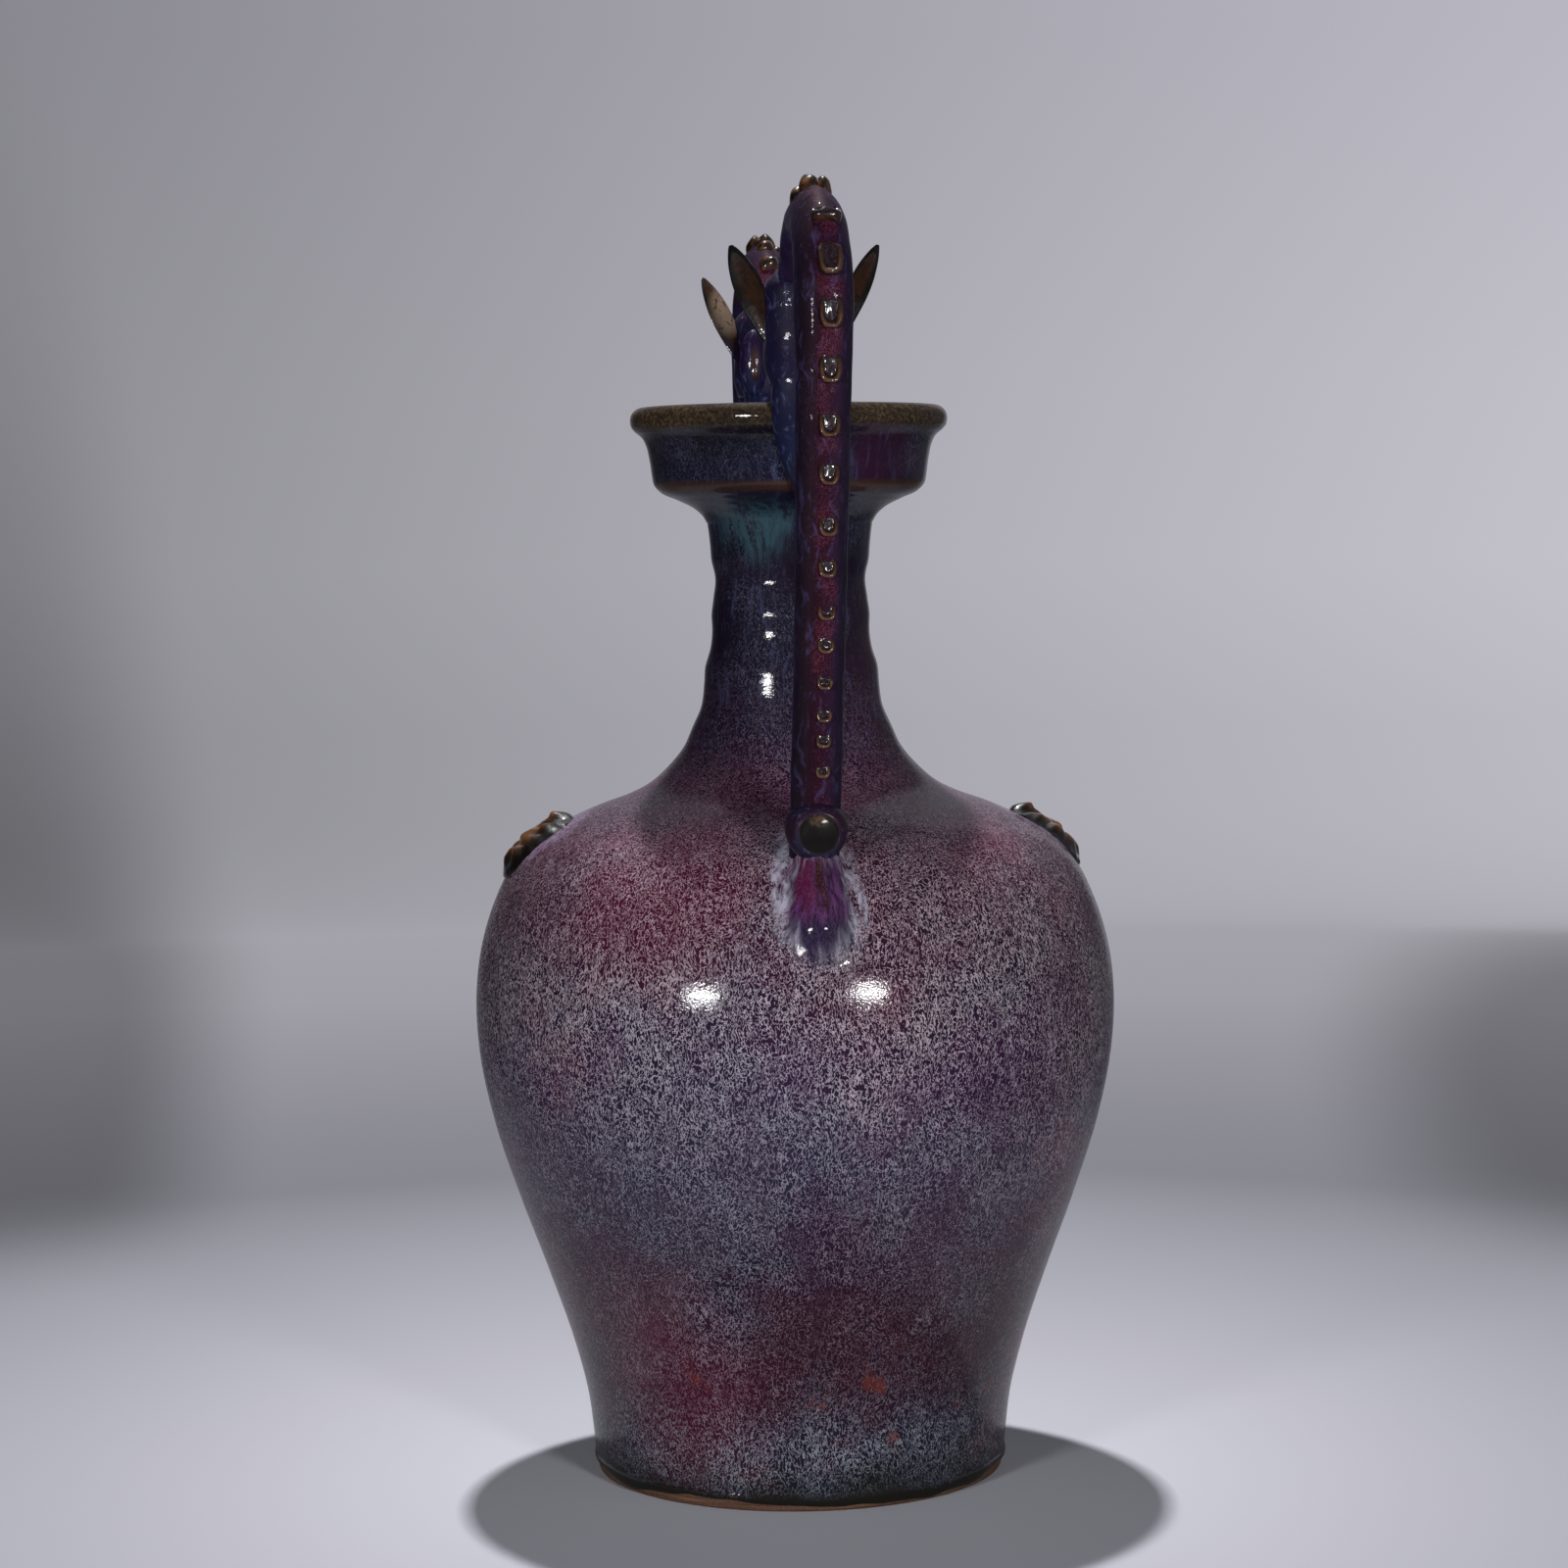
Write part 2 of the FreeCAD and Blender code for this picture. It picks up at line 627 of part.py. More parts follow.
def dragon(settings, vessel, dish, dish_core):
    """All pieces of one dragon, by node name."""
    handle = Handle(settings)
    body = dragon_body(handle, vessel)
    head = dragon_head(handle)
    snout = jaw(handle, snout_length, SNOUT_SHARES)
    upper_jaw = snout.cut(dish)
    lower_jaw = jaw(handle, chin_length, CHIN_SHARES).cut(dish_core).cut(snout)
    brows, eyes = dragon_face(handle, head)
    pieces = {
        "dragon_body": body,
        "dragon_tail_knob": dragon_tail_knob(handle, vessel, body),
        "dragon_scutes": dragon_scutes(handle, body),
        "dragon_crest": dragon_crest(handle, body, head),
        "dragon_head": head,
        "dragon_upper_jaw": upper_jaw,
        "dragon_lower_jaw": lower_jaw,
        "dragon_front_ear": dragon_ear(handle, head, -1),
        "dragon_back_ear": dragon_ear(handle, head, 1),
        "dragon_brows": brows,
        "dragon_eyes": eyes,
    }
    named = {}
    for name, shape in pieces.items():
        shape.rotate(ORIGIN, UP, settings["turn"])
        named[settings["name"] + "_" + name] = shape
    return named


def vase():
    nodes = {
        "foot_ring": foot_ring(),
        "base_floor": base_floor(),
        "lower_body": thrown_wall(0, belly_index),
        "upper_body": thrown_wall(belly_index, neck_index),
        "neck": thrown_wall(neck_index, throat_index),
        "dish_mouth": dish_mouth(),
    }
    for name, turn in (("front_medallion", -QUARTER_TURN), ("back_medallion", QUARTER_TURN)):
        rosette = medallion()
        rosette.rotate(ORIGIN, UP, turn)
        nodes[name] = rosette
    vessel = filled(wall_curve, wall_points)
    dish_core = dish_filled()
    for settings in (right_dragon, left_dragon):
        nodes.update(dragon(settings, vessel, nodes["dish_mouth"], dish_core))
    return nodes


os.makedirs("parts", exist_ok=True)
for node, shape in vase().items():
    shape.exportStep("parts/" + node + ".step")
    print(node, "solids", len(shape.Solids), "volume", round(shape.Volume, 1), "valid", shape.isValid())
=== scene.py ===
import bmesh
import bpy
import math
from mathutils import Matrix, Vector, noise
from mathutils.geometry import interpolate_bezier


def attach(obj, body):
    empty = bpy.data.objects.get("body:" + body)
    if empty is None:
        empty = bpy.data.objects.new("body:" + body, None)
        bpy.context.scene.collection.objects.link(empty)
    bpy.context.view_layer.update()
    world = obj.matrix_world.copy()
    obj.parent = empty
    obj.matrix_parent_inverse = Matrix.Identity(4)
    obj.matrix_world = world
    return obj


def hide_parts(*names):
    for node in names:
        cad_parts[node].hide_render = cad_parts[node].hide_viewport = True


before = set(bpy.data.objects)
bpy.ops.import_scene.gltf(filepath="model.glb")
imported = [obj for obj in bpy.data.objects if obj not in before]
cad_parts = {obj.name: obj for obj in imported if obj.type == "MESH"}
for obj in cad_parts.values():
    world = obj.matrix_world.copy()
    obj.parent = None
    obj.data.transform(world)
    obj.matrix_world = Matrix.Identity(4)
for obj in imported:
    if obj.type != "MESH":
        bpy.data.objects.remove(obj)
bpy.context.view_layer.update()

# Shapes are worked out in millimetres and scaled to metres when a piece is finished.
MM = 0.001
UP = Vector((0, 0, 1))
SIDE = Vector((0, 1, 0))
OUT = Vector((1, 0, 0))
ORIGIN = Vector((0, 0, 0))

# Outline of the thrown vessel: radius and height of its outer and inner skin
OUTSIDE = [(65.5, 6.0), (67.8, 25.1), (71.7, 40.6), (79.6, 64.5), (88.4, 88.6), (96.0, 112.4), (100.5, 135.1),
           (101.2, 152.0), (99.5, 166.9), (94.7, 182.3), (89.9, 192.0), (83.0, 200.0), (73.0, 206.3),
           (61.1, 211.6), (52.3, 214.8), (46.0, 218.0), (39.3, 223.8), (34.3, 230.0), (31.5, 236.2),
           (28.8, 242.4), (27.8, 249.5), (27.4, 254.8), (25.6, 261.0), (25.0, 266.0), (25.1, 271.5),
           (24.4, 277.0), (23.8, 282.6), (25.0, 288.8), (25.4, 294.0), (26.1, 300.0)]
INSIDE = [(60.0, 6.0), (62.4, 26.2), (66.4, 42.1), (74.4, 66.4), (83.2, 90.5), (90.7, 113.9), (95.0, 135.7),
          (95.7, 151.8), (94.2, 165.8), (89.6, 180.2), (85.3, 189.0), (79.4, 195.8), (70.5, 201.4),
          (59.1, 206.5), (50.3, 209.7), (43.5, 214.2), (36.0, 220.6), (30.4, 227.6), (27.3, 234.3),
          (24.4, 241.1), (23.2, 249.3), (22.8, 254.0), (21.1, 259.9), (20.4, 266.0), (20.5, 271.3),
          (19.9, 276.2), (19.2, 282.9), (20.5, 289.5), (20.8, 294.2), (21.6, 300.9)]
# Stations of both skins where one wall ends and the next begins
BELLY, NECK_ROOT, THROAT = 7, 15, 29
DISH_OUTSIDE = [(26.1, 300.0), (27.7, 302.6), (30.0, 304.7), (35.4, 307.5), (40.9, 310.1), (42.8, 312.3),
                (43.4, 315.2), (43.8, 318.3), (44.3, 321.4), (45.0, 324.4), (46.3, 327.1), (48.4, 328.9)]
DISH_LIP = [(48.4, 328.9), (49.5, 330.2), (50.0, 332.2), (49.7, 334.2), (48.5, 335.7), (46.5, 336.5),
            (44.7, 335.9), (43.5, 334.8), (42.8, 333.3)]
DISH_INSIDE = [(42.8, 333.3), (40.8, 330.9), (39.7, 327.9), (39.3, 324.0), (38.8, 318.4), (37.4, 315.6),
               (34.9, 313.7), (32.0, 312.3), (29.1, 310.9), (26.6, 309.0), (24.6, 306.5), (22.9, 303.8),
               (21.6, 300.9)]

# Place on the shoulder where the tails and the rosettes sit, and the way the wall faces there
SHOULDER_SEAT = Vector((82.26, 0, 200.58))
SHOULDER_NORMAL = Vector((0.6276, 0, 0.7785))

# Dragon handles
REACH = 102.0
HEAD_LINE = 52.0
HEAD_HALF_WIDTH = 12.0
HEAD_HALF_DEPTH = 12.5
EYE_SIDE = 7.0
LIP_TOP = 336.5
JAW_LINE = 341.0
ARCH_RADIUS = 25.0
ARCH_END = math.radians(158)

# Strap: half width, depth to its back and depth to its front, each at the tail and what it gains above
STRAP_HALF_WIDTH = (7.2, 1.2)
STRAP_BACK = (5.8, 2.6)
STRAP_FRONT = (5.4, 2.2)
ARCH_NARROWING = 0.3
STRAP_START = -3.0
STRAP_STEP = 1.6

# Direction and distance from the vase to the camera, for the light and shade of the room
TOWARDS_X, TOWARDS_Y = 0.9945, 0.1045
CAMERA_DISTANCE = 1.178


def read_off(points, place):
    """Worth at a place, with straight lines between a row of (place, worth) points."""
    for (low, first), (high, second) in zip(points, points[1:]):
        if place <= high:
            return first + (second - first) * (place - low) / (high - low)
    return points[-1][1]


def heading(points, index):
    """Direction of a smooth line at one of its points."""
    behind = points[index] - points[max(index - 1, 0)]
    ahead = points[min(index + 1, len(points) - 1)] - points[index]
    if behind.length < 1e-9:
        return ahead.normalized()
    if ahead.length < 1e-9:
        return behind.normalized()
    return (behind.normalized() * ahead.length + ahead.normalized() * behind.length).normalized()


def smooth_line(points, step, first=0, last=None, pieces=None):
    """Points about a step apart on a smooth line through the given ones."""
    points = [Vector((p[0], 0, p[1])) if len(p) == 2 else Vector(p) for p in points]
    last = len(points) - 1 if last is None else last
    line = []
    for index in range(first, last):
        start, end = points[index], points[index + 1]
        gap = (end - start).length
        leave = start + heading(points, index) * gap / 3
        arrive = end - heading(points, index + 1) * gap / 3
        count = pieces + 1 if pieces else max(2, round(gap / step) + 1)
        line += interpolate_bezier(start, leave, arrive, end, count)[:-1]
    return line + [points[last]]


def turned(outline, segments, closed=True):
    """Outline of (radius, 0, height) points turned on the wheel."""
    bm = bmesh.new()
    ring = [bm.verts.new(point) for point in outline]
    edges = [bm.edges.new(pair) for pair in zip(ring, ring[1:])]
    if closed:
        edges.append(bm.edges.new((ring[-1], ring[0])))
    bmesh.ops.spin(bm, geom=ring + edges, cent=ORIGIN, axis=UP, dvec=ORIGIN, angle=math.tau, steps=segments,
                   use_merge=True, use_duplicate=False)
    bmesh.ops.remove_doubles(bm, verts=bm.verts, dist=0.001)
    return bm


def extend(bm, ring, places):
    """Extrudes a closed ring of vertices to the next places and gives the new ring."""
    edges = [bm.edges.get(pair) for pair in zip(ring, ring[1:] + ring[:1])]
    made = bmesh.ops.extrude_edge_only(bm, edges=edges)["geom"]
    fresh = {item for item in made if isinstance(item, bmesh.types.BMVert)}
    following = []
    for vert, place in zip(ring, places):
        partner = next(edge.other_vert(vert) for edge in vert.link_edges if edge.other_vert(vert) in fresh)
        partner.co = place
        following.append(partner)
    return following


def lofted(rings):
    """Skin through rings of places, closed at both ends."""
    bm = bmesh.new()
    ring = [bm.verts.new(place) for place in rings[0]]
    for pair in zip(ring, ring[1:] + ring[:1]):
        bm.edges.new(pair)
    bm.faces.new(ring)
    for places in rings[1:]:
        ring = extend(bm, ring, places)
    bm.faces.new(ring)
    return bm


def mark(bm, name, worth):
    """Keeps a number on each vertex for the glaze to read."""
    layer = bm.verts.layers.float.get(name) or bm.verts.layers.float.new(name)
    for vert in bm.verts:
        vert[layer] = worth(vert.co)


def swell(bm, place, radius, push):
    """Presses the clay out or in around a place."""
    for vert in bm.verts:
        gap = (vert.co - place).length / radius
        if gap < 1:
            vert.co += push * (1 - gap * gap) ** 2


def uneven(bm, size, depth):
    """Hand-made unevenness: moves the skin inwards by up to the depth."""
    bm.normal_update()
    for vert in bm.verts:
        vert.co -= vert.normal * depth * (0.5 + 0.5 * noise.noise(vert.co / size))


def rotate(bm, angle, axis):
    """Turns a piece by some degrees about an axis of the frame."""
    bmesh.ops.rotate(bm, verts=bm.verts, cent=ORIGIN, matrix=Matrix.Rotation(math.radians(angle), 3, axis))


def fired(bm, name, slot, finish, *nodes, turn=0.0, sharp=50.0):
    """Makes a finished piece of the clay, standing where its nodes stand."""
    if turn:
        rotate(bm, turn, "Z")
    bmesh.ops.scale(bm, verts=bm.verts, vec=(MM, MM, MM))
    bmesh.ops.recalc_face_normals(bm, faces=bm.faces)
    for face in bm.faces:
        face.smooth = True
    for edge in bm.edges:
        if len(edge.link_faces) == 2 and edge.calc_face_angle(0) > math.radians(sharp):
            edge.smooth = False
    mesh = bpy.data.meshes.new(name)
    bm.to_mesh(mesh)
    bm.free()
    mesh.materials.append(finish)
    piece = bpy.data.objects.new(name, mesh)
    bpy.context.scene.collection.objects.link(piece)
    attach(piece, "root")
    if nodes:
        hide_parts(*nodes)
    return piece


def colour(code):
    """Linear colour from a display colour written as six hex digits."""
    parts = [int(code[start:start + 2], 16) / 255 for start in (0, 2, 4)]
    return [part / 12.92 if part <= 0.04045 else ((part + 0.055) / 1.055) ** 2.4 for part in parts] + [1.0]


class Glaze:
    """A finish and short ways to mix it."""

    def __init__(self, name):
        self.finish = bpy.data.materials.new(name)
        self.finish.use_nodes = True
        self.tree = self.finish.node_tree
        self.shader = self.tree.nodes["Principled BSDF"]
        self.place = self.add("ShaderNodeTexCoord").outputs["Object"]
        split = self.add("ShaderNodeSeparateXYZ")
        self.feed(split.inputs[0], self.place)
        self.x, self.y, self.z = split.outputs
        side = self.sum("SIGN", self.x)
        join = self.add("ShaderNodeCombineXYZ")
        self.feed(join.inputs[0], self.sum("ABSOLUTE", self.x))
        self.feed(join.inputs[1], self.times(self.y, side))
        self.feed(join.inputs[2], self.z)
        self.handle_side = join.outputs[0]

    def add(self, kind, **settings):
        node = self.tree.nodes.new(kind)
        for name, worth in settings.items():
            setattr(node, name, worth)
        return node

    def feed(self, socket, source):
        if isinstance(source, bpy.types.NodeSocket):
            self.tree.links.new(source, socket)
        elif isinstance(source, str):
            socket.default_value = colour(source)
        else:
            socket.default_value = source

    def sum(self, kind, first, second=0.0, third=0.0):
        node = self.add("ShaderNodeMath", operation=kind)
        for socket, source in zip(node.inputs, (first, second, third)):
            self.feed(socket, source)
        return node.outputs[0]

    def times(self, first, second):
        return self.sum("MULTIPLY", first, second)

    def vector(self, kind, first, second=(0, 0, 0)):
        node = self.add("ShaderNodeVectorMath", operation=kind)
        self.feed(node.inputs[0], first)
        self.feed(node.inputs[1], second)
        return node.outputs["Value" if kind == "LENGTH" else "Vector"]

    def gap(self, place, centre, size):
        """Distance from a centre, counted in the sizes of a patch; centre and sizes are in millimetres."""
        moved = self.vector("SUBTRACT", place, [length * MM for length in centre])
        return self.vector("LENGTH", self.vector("MULTIPLY", moved, [1000 / length for length in size]))

    def worms(self, place, scale, share):
        """Short wriggling flecks: 1 along the middle level of a noise, wider where the share is higher."""
        cells = self.sum("ABSOLUTE", self.sum("SUBTRACT", self.grain(place, scale, 2.0, 0.6), 0.5))
        limit = self.sum("MULTIPLY_ADD", share, 0.08, -0.012)
        return self.fade(self.sum("SUBTRACT", cells, limit), 0.016, -0.006)

    def grain(self, place, scale, detail=2.0, rough=0.5, output=0):
        """Cloudy noise from 0 to 1, with so many grains a metre."""
        node = self.add("ShaderNodeTexNoise")
        self.feed(node.inputs["Vector"], place)
        self.feed(node.inputs["Scale"], scale)
        self.feed(node.inputs["Detail"], detail)
        self.feed(node.inputs["Roughness"], rough)
        return node.outputs[output]

    def drift(self, scale):
        """Cloudy noise from -0.5 to 0.5 along each axis."""
        return self.vector("SUBTRACT", self.grain(self.place, scale, 2.0, output=1), (0.5, 0.5, 0.5))

    def moved(self, place, drift, reach):
        """Places pushed along a drift, by up to half the reach (in metres)."""
        return self.vector("ADD", place, self.vector("MULTIPLY", drift, (reach,) * 3))

    def fade(self, source, low, high):
        """0 below low, 1 above high, and smooth between."""
        node = self.add("ShaderNodeMapRange", interpolation_type="SMOOTHSTEP")
        for name, worth in (("Value", source), ("From Min", low), ("From Max", high)):
            self.feed(node.inputs[name], worth)
        return node.outputs[0]

    def blend(self, share, first, second):
        """The first colour, turning to the second as the share goes from 0 to 1."""
        node = self.add("ShaderNodeMix", data_type="RGBA", blend_type="MIX")
        self.feed(node.inputs[0], share)
        self.feed(node.inputs[6], first)
        self.feed(node.inputs[7], second)
        return node.outputs[2]

    def ramp(self, source, *stops):
        """Colours, or grey levels, at places along a value."""
        node = self.add("ShaderNodeValToRGB")
        points = node.color_ramp.elements
        while len(points) < len(stops):
            points.new(0.5)
        for point, (place, worth) in zip(points, stops):
            point.position = place
            point.color = colour(worth) if isinstance(worth, str) else [worth, worth, worth, 1]
        self.feed(node.inputs[0], source)
        return node.outputs[0]

    def mark(self, name):
        """Number that the piece keeps on its vertices."""
        return self.add("ShaderNodeAttribute", attribute_name=name).outputs["Fac"]

    def bumps(self, height, depth):
        """Small relief, its depth in metres."""
        node = self.add("ShaderNodeBump")
        self.feed(node.inputs["Height"], height)
        self.feed(node.inputs["Distance"], depth)
        self.feed(node.inputs["Strength"], 1.0)
        return node.outputs[0]

    def coat(self, colours, roughness, bumps, gloss=1.0, gloss_roughness=0.05, specular=0.2):
        self.feed(self.shader.inputs["Specular IOR Level"], specular)
        self.feed(self.shader.inputs["Base Color"], colours)
        self.feed(self.shader.inputs["Roughness"], roughness)
        self.feed(self.shader.inputs["Normal"], bumps)
        self.feed(self.shader.inputs["Coat Weight"], gloss)
        self.feed(self.shader.inputs["Coat Roughness"], gloss_roughness)
        self.feed(self.shader.inputs["Coat Normal"], bumps)


def vessel_glaze():
    """Plum and navy ground under fine pale flecks, with crimson, blue and teal clouds."""
    g = Glaze("flambe_glaze")
    drift = g.drift(55.0)
    place = g.moved(g.place, drift, 0.008)
    local = g.moved(g.handle_side, drift, 0.02)
    flowing = g.vector("MULTIPLY", place, (1.0, 1.0, 0.5))
    running = g.vector("MULTIPLY", place, (1.0, 1.0, 0.14))
    clouds = g.grain(g.place, 16.0, 4.0, 0.6)
    patches = g.grain(g.vector("ADD", g.place, (0.3, 0.1, 0.2)), 38.0, 4.0, 0.62)
    streaks = g.grain(running, 420.0, 3.0, 0.6)
    wander = g.sum("MULTIPLY_ADD", g.sum("SUBTRACT", clouds, 0.5), 0.04, g.z)
    level = g.sum("DIVIDE", wander, GLAZE_SPAN * MM)

    # Colour of the ground, colour of the flecks and the flecks' share, by height
    ground = g.ramp(level, *up_the_vessel(
        "100f10", "17141e", "20182a", "2a0e1e", "2a0e1e", "2a1029", "2a1330", "301536", "2c112c", "2e0d25",
        "2e0c24", "360e2a", "36112c", "220f28", "140d20", "180e22", "101822", "18102a", "14152a", "15110f"))
    ground = g.blend(g.times(g.fade(patches, 0.44, 0.60), 0.7), ground, "151627")
    pale = g.ramp(level, *up_the_vessel(
        "56585e", "74767e", "868a98", "78626f", "806a79", "867889", "92859a", "b09eac", "b0a0aa", "a8929e",
        "a68f9c", "9a7689", "80586e", "5a4058", "44405a", "44405c", "44525f", "4a4060", "3c4870", "4a423c"))
    haze = g.grain(g.vector("ADD", g.place, (0.7, 0.2, 0.4)), 22.0, 3.0)
    pale = g.blend(g.times(g.fade(haze, 0.45, 0.62), 0.3), pale, "8490a4")
    cover = g.ramp(level, *up_the_vessel(0.3, 0.5, 0.50, 0.37, 0.40, 0.42, 0.46, 0.54, 0.54, 0.50,
                                         0.55, 0.56, 0.58, 0.34, 0.2, 0.2, 0.3, 0.15, 0.26, 0.16))
    cover = g.sum("ADD", cover, g.sum("SUBTRACT", patches, 0.5))

    # Clouds of crimson, plum and blue, and painted shade: darker ground and duller flecks towards the rosettes' sides
    crimson = g.sum("MAXIMUM", g.fade(g.gap(local, (72, -46, 186), (38, 36, 34)), 1.15, 0.45),
                    g.fade(g.gap(local, (62, -50, 36), (40, 38, 40)), 1.15, 0.4))
    crimson = g.sum("MAXIMUM", crimson, g.times(g.fade(clouds, 0.54, 0.66), 0.7))
    crimson = g.times(crimson, g.fade(g.z, 0.232, 0.20))
    ground = g.blend(g.times(crimson, 0.6), ground, "4a0b24")
    pale = g.blend(g.times(crimson, 0.3), pale, "926f7c")
    plum = g.sum("MAXIMUM", g.fade(g.gap(local, (20, 26, 240), (34, 20, 46)), 1.1, 0.5),
                 g.fade(g.gap(local, (36, 26, 321), (34, 18, 12)), 1.1, 0.5))
    ground = g.blend(g.times(plum, 0.75), ground, "32112a")
    blue = g.fade(g.gap(local, (85, -44, 112), (60, 60, 42)), 1.1, 0.5)
    ground = g.blend(g.times(blue, 0.4), ground, "1c2032")
    pale = g.blend(g.times(blue, 0.3), pale, "7e8698")
    painted_side_shade = g.fade(g.gap(local, (0, 0, 120), (64, 600, 600)), 1.0, 0.4)
    ground = g.blend(g.times(painted_side_shade, 0.3), ground, "120d18")
    pale = g.blend(g.times(painted_side_shade, 0.45), pale, "5a5460")

    # Flecks, milky streaks on the neck, a teal run below the dish and rusty spots near the foot
    strength = g.sum("MULTIPLY_ADD", g.fade(g.grain(flowing, 500.0, 2.0), 0.36, 0.6), 0.35, 0.65)
    colours = g.blend(g.times(g.worms(flowing, 1080.0, cover), strength), ground, pale)
    milky = g.times(g.fade(streaks, 0.52, 0.72), g.ramp(level, (0.62, 0.0), (0.72, 0.30), (1.0, 0.35)))
    colours = g.blend(milky, colours, "464c70")
    teal = g.fade(g.gap(local, (22, -14, 299), (22, 15, 13)), 1.1, 0.3)
    colours = g.blend(g.times(teal, g.fade(streaks, 0.35, 0.6)), colours, "2a444f")
    rust = g.grain(g.vector("ADD", g.place, (0.5, 0.9, 0.1)), 75.0, 3.0, 0.6)
    low = g.times(g.fade(g.z, 0.012, 0.024), g.fade(g.z, 0.052, 0.036))
    rust = g.times(g.fade(rust, 0.60, 0.72), low)
    colours = g.blend(g.times(rust, 0.75), colours, "6a2a1c")

    # Thick glaze that ran down below each rolled tail, with a pale halo round it
    swirl = g.vector("SUBTRACT", g.grain(running, 300.0, 2.0, output=1), (0.5, 0.5, 0.5))
    swirl = g.vector("ADD", g.handle_side, g.vector("MULTIPLY", swirl, (0.0, 0.009, 0.009)))
    tongue = g.gap(swirl, (90, -2.4, 188.5), (40, 10.5, 19.0))
    halo = g.times(g.fade(tongue, 0.62, 0.95), g.fade(tongue, 1.45, 1.1))
    halo = g.times(halo, g.fade(g.z, 0.166, 0.190))
    halo = g.times(halo, g.fade(g.grain(running, 330.0, 3.0, 0.6), 0.34, 0.60))
    halo = g.times(halo, g.fade(g.sum("ADD", patches, g.grain(flowing, 700.0, 2.0)), 0.70, 1.10))
    inner = g.fade(tongue, 1.15, 0.75)
    run = g.blend(g.fade(streaks, 0.38, 0.66), "2c1030", "5e3468")
    run = g.blend(g.fade(g.gap(swirl, (90, -6.5, 196), (40, 3.4, 9)), 1.4, 0.4), run, "4e1238")
    run = g.blend(g.fade(g.z, 0.1865, 0.1815), run, "241836")
    run = g.blend(g.fade(g.gap(swirl, (90, -1.4, 195), (40, 1.5, 10)), 1.4, 0.4), run, "2c0a10")
    colours = g.blend(g.times(inner, 0.92), colours, run)
    colours = g.blend(g.times(halo, 0.9), colours, g.blend(g.fade(clouds, 0.4, 0.6), "b0a2b8", "a4aab8"))

    # Lilac round the rosettes, brown on the lip and where the glaze is thin, black at the bottom edge
    rosette_halo = g.fade(g.gap(g.vector("ABSOLUTE", local), (0, 78, 205), (19, 15, 12)), 1.25, 0.8)
    rosette_halo = g.times(rosette_halo, g.fade(g.grain(flowing, 900.0, 2.0), 0.35, 0.6))
    colours = g.blend(g.times(rosette_halo, 0.55), colours, "a690b4")
    rim = g.fade(g.sum("MULTIPLY_ADD", patches, 0.004, g.z), 0.3300, 0.3330)
    rim_colours = g.ramp(g.grain(g.place, 900.0, 3.0, 0.6), (0.35, "221c19"), (0.5, "352a20"), (0.65, "52432f"))
    colours = g.blend(rim, colours, rim_colours)
    thin = g.times(g.fade(g.z, 0.3085, 0.3110), g.fade(g.z, 0.3140, 0.3120))
    colours = g.blend(g.times(thin, 0.7), colours, "3f2a17")
    bottom = g.fade(g.sum("MULTIPLY_ADD", patches, 0.005, g.z), 0.0095, 0.0060)
    colours = g.blend(bottom, colours, "12110c")

    skin = g.sum("ADD", g.times(g.grain(g.place, 1700.0, 1.0), 1.4),
                 g.times(g.grain(g.place, 330.0, 2.0), 0.6))
    g.coat(colours, 0.6, g.bumps(skin, 0.000026), 0.42, 0.05, 0.05)
    return g.finish


# Heights at which the vessel's glaze changes, and the height that they are shares of
GLAZE_HEIGHTS = (6, 14, 22, 40, 60, 80, 105, 135, 160, 180, 200, 212, 222, 235, 262, 285, 300, 308, 318, 331)
GLAZE_SPAN = 340


def up_the_vessel(*worths):
    """Stops of a ramp, with a worth for each height at which the glaze changes."""
    return [(height / GLAZE_SPAN, worth) for height, worth in zip(GLAZE_HEIGHTS, worths)]


def strap_glaze():
    """Dark strap: crimson and plum along the middle of the back, navy-black down the sides."""
    g = Glaze("strap_glaze")
    place = g.moved(g.place, g.drift(90.0), 0.01)
    running = g.vector("MULTIPLY", place, (1.0, 1.0, 0.16))
    flowing = g.vector("MULTIPLY", place, (1.0, 1.0, 0.5))
    streaks = g.grain(running, 520.0, 3.0, 0.65)
    wide = g.grain(running, 170.0, 2.0, 0.5)
    patches = g.grain(g.place, 75.0, 3.0)
    across = g.sum("MULTIPLY_ADD", g.mark("across"), 0.5, g.sum("MULTIPLY_ADD", wide, 0.2, 0.4))
    back = g.ramp(across, (0.0, "17121c"), (0.10, "1a111b"), (0.24, "1e0e1a"), (0.36, "220a18"), (0.48, "290b1c"),
                  (0.60, "260d20"), (0.74, "26162c"), (0.86, "21192b"), (1.0, "1c1824"))
    side = g.ramp(patches, (0.3, "19131f"), (0.5, "221533"), (0.7, "1b203e"))
    colours = g.blend(g.fade(g.mark("back"), 0.3, 0.9), side, back)
    middle = g.times(g.ramp(across, (0.28, 0.0), (0.42, 1.0), (0.66, 1.0), (0.80, 0.0)),
                     g.fade(g.mark("back"), 0.45, 0.95))
    red = g.times(middle, g.fade(patches, 0.45, 0.62))
    colours = g.blend(g.times(red, 0.5), colours, "440b1c")
    fleck = g.worms(flowing, 1150.0, g.sum("MULTIPLY_ADD", patches, 1.4, -0.48))
    colours = g.blend(g.times(fleck, g.sum("MULTIPLY_ADD", middle, 0.30, 0.08)), colours, "7c566e")
    colours = g.blend(g.times(g.fade(streaks, 0.52, 0.72), 0.35), colours, "4c4470")
    skin = g.sum("ADD", g.times(streaks, 0.6), g.grain(g.place, 260.0, 2.0))
    g.coat(colours, 0.6, g.bumps(skin, 0.00012), 0.08, 0.06, 0.05)
    return g.finish


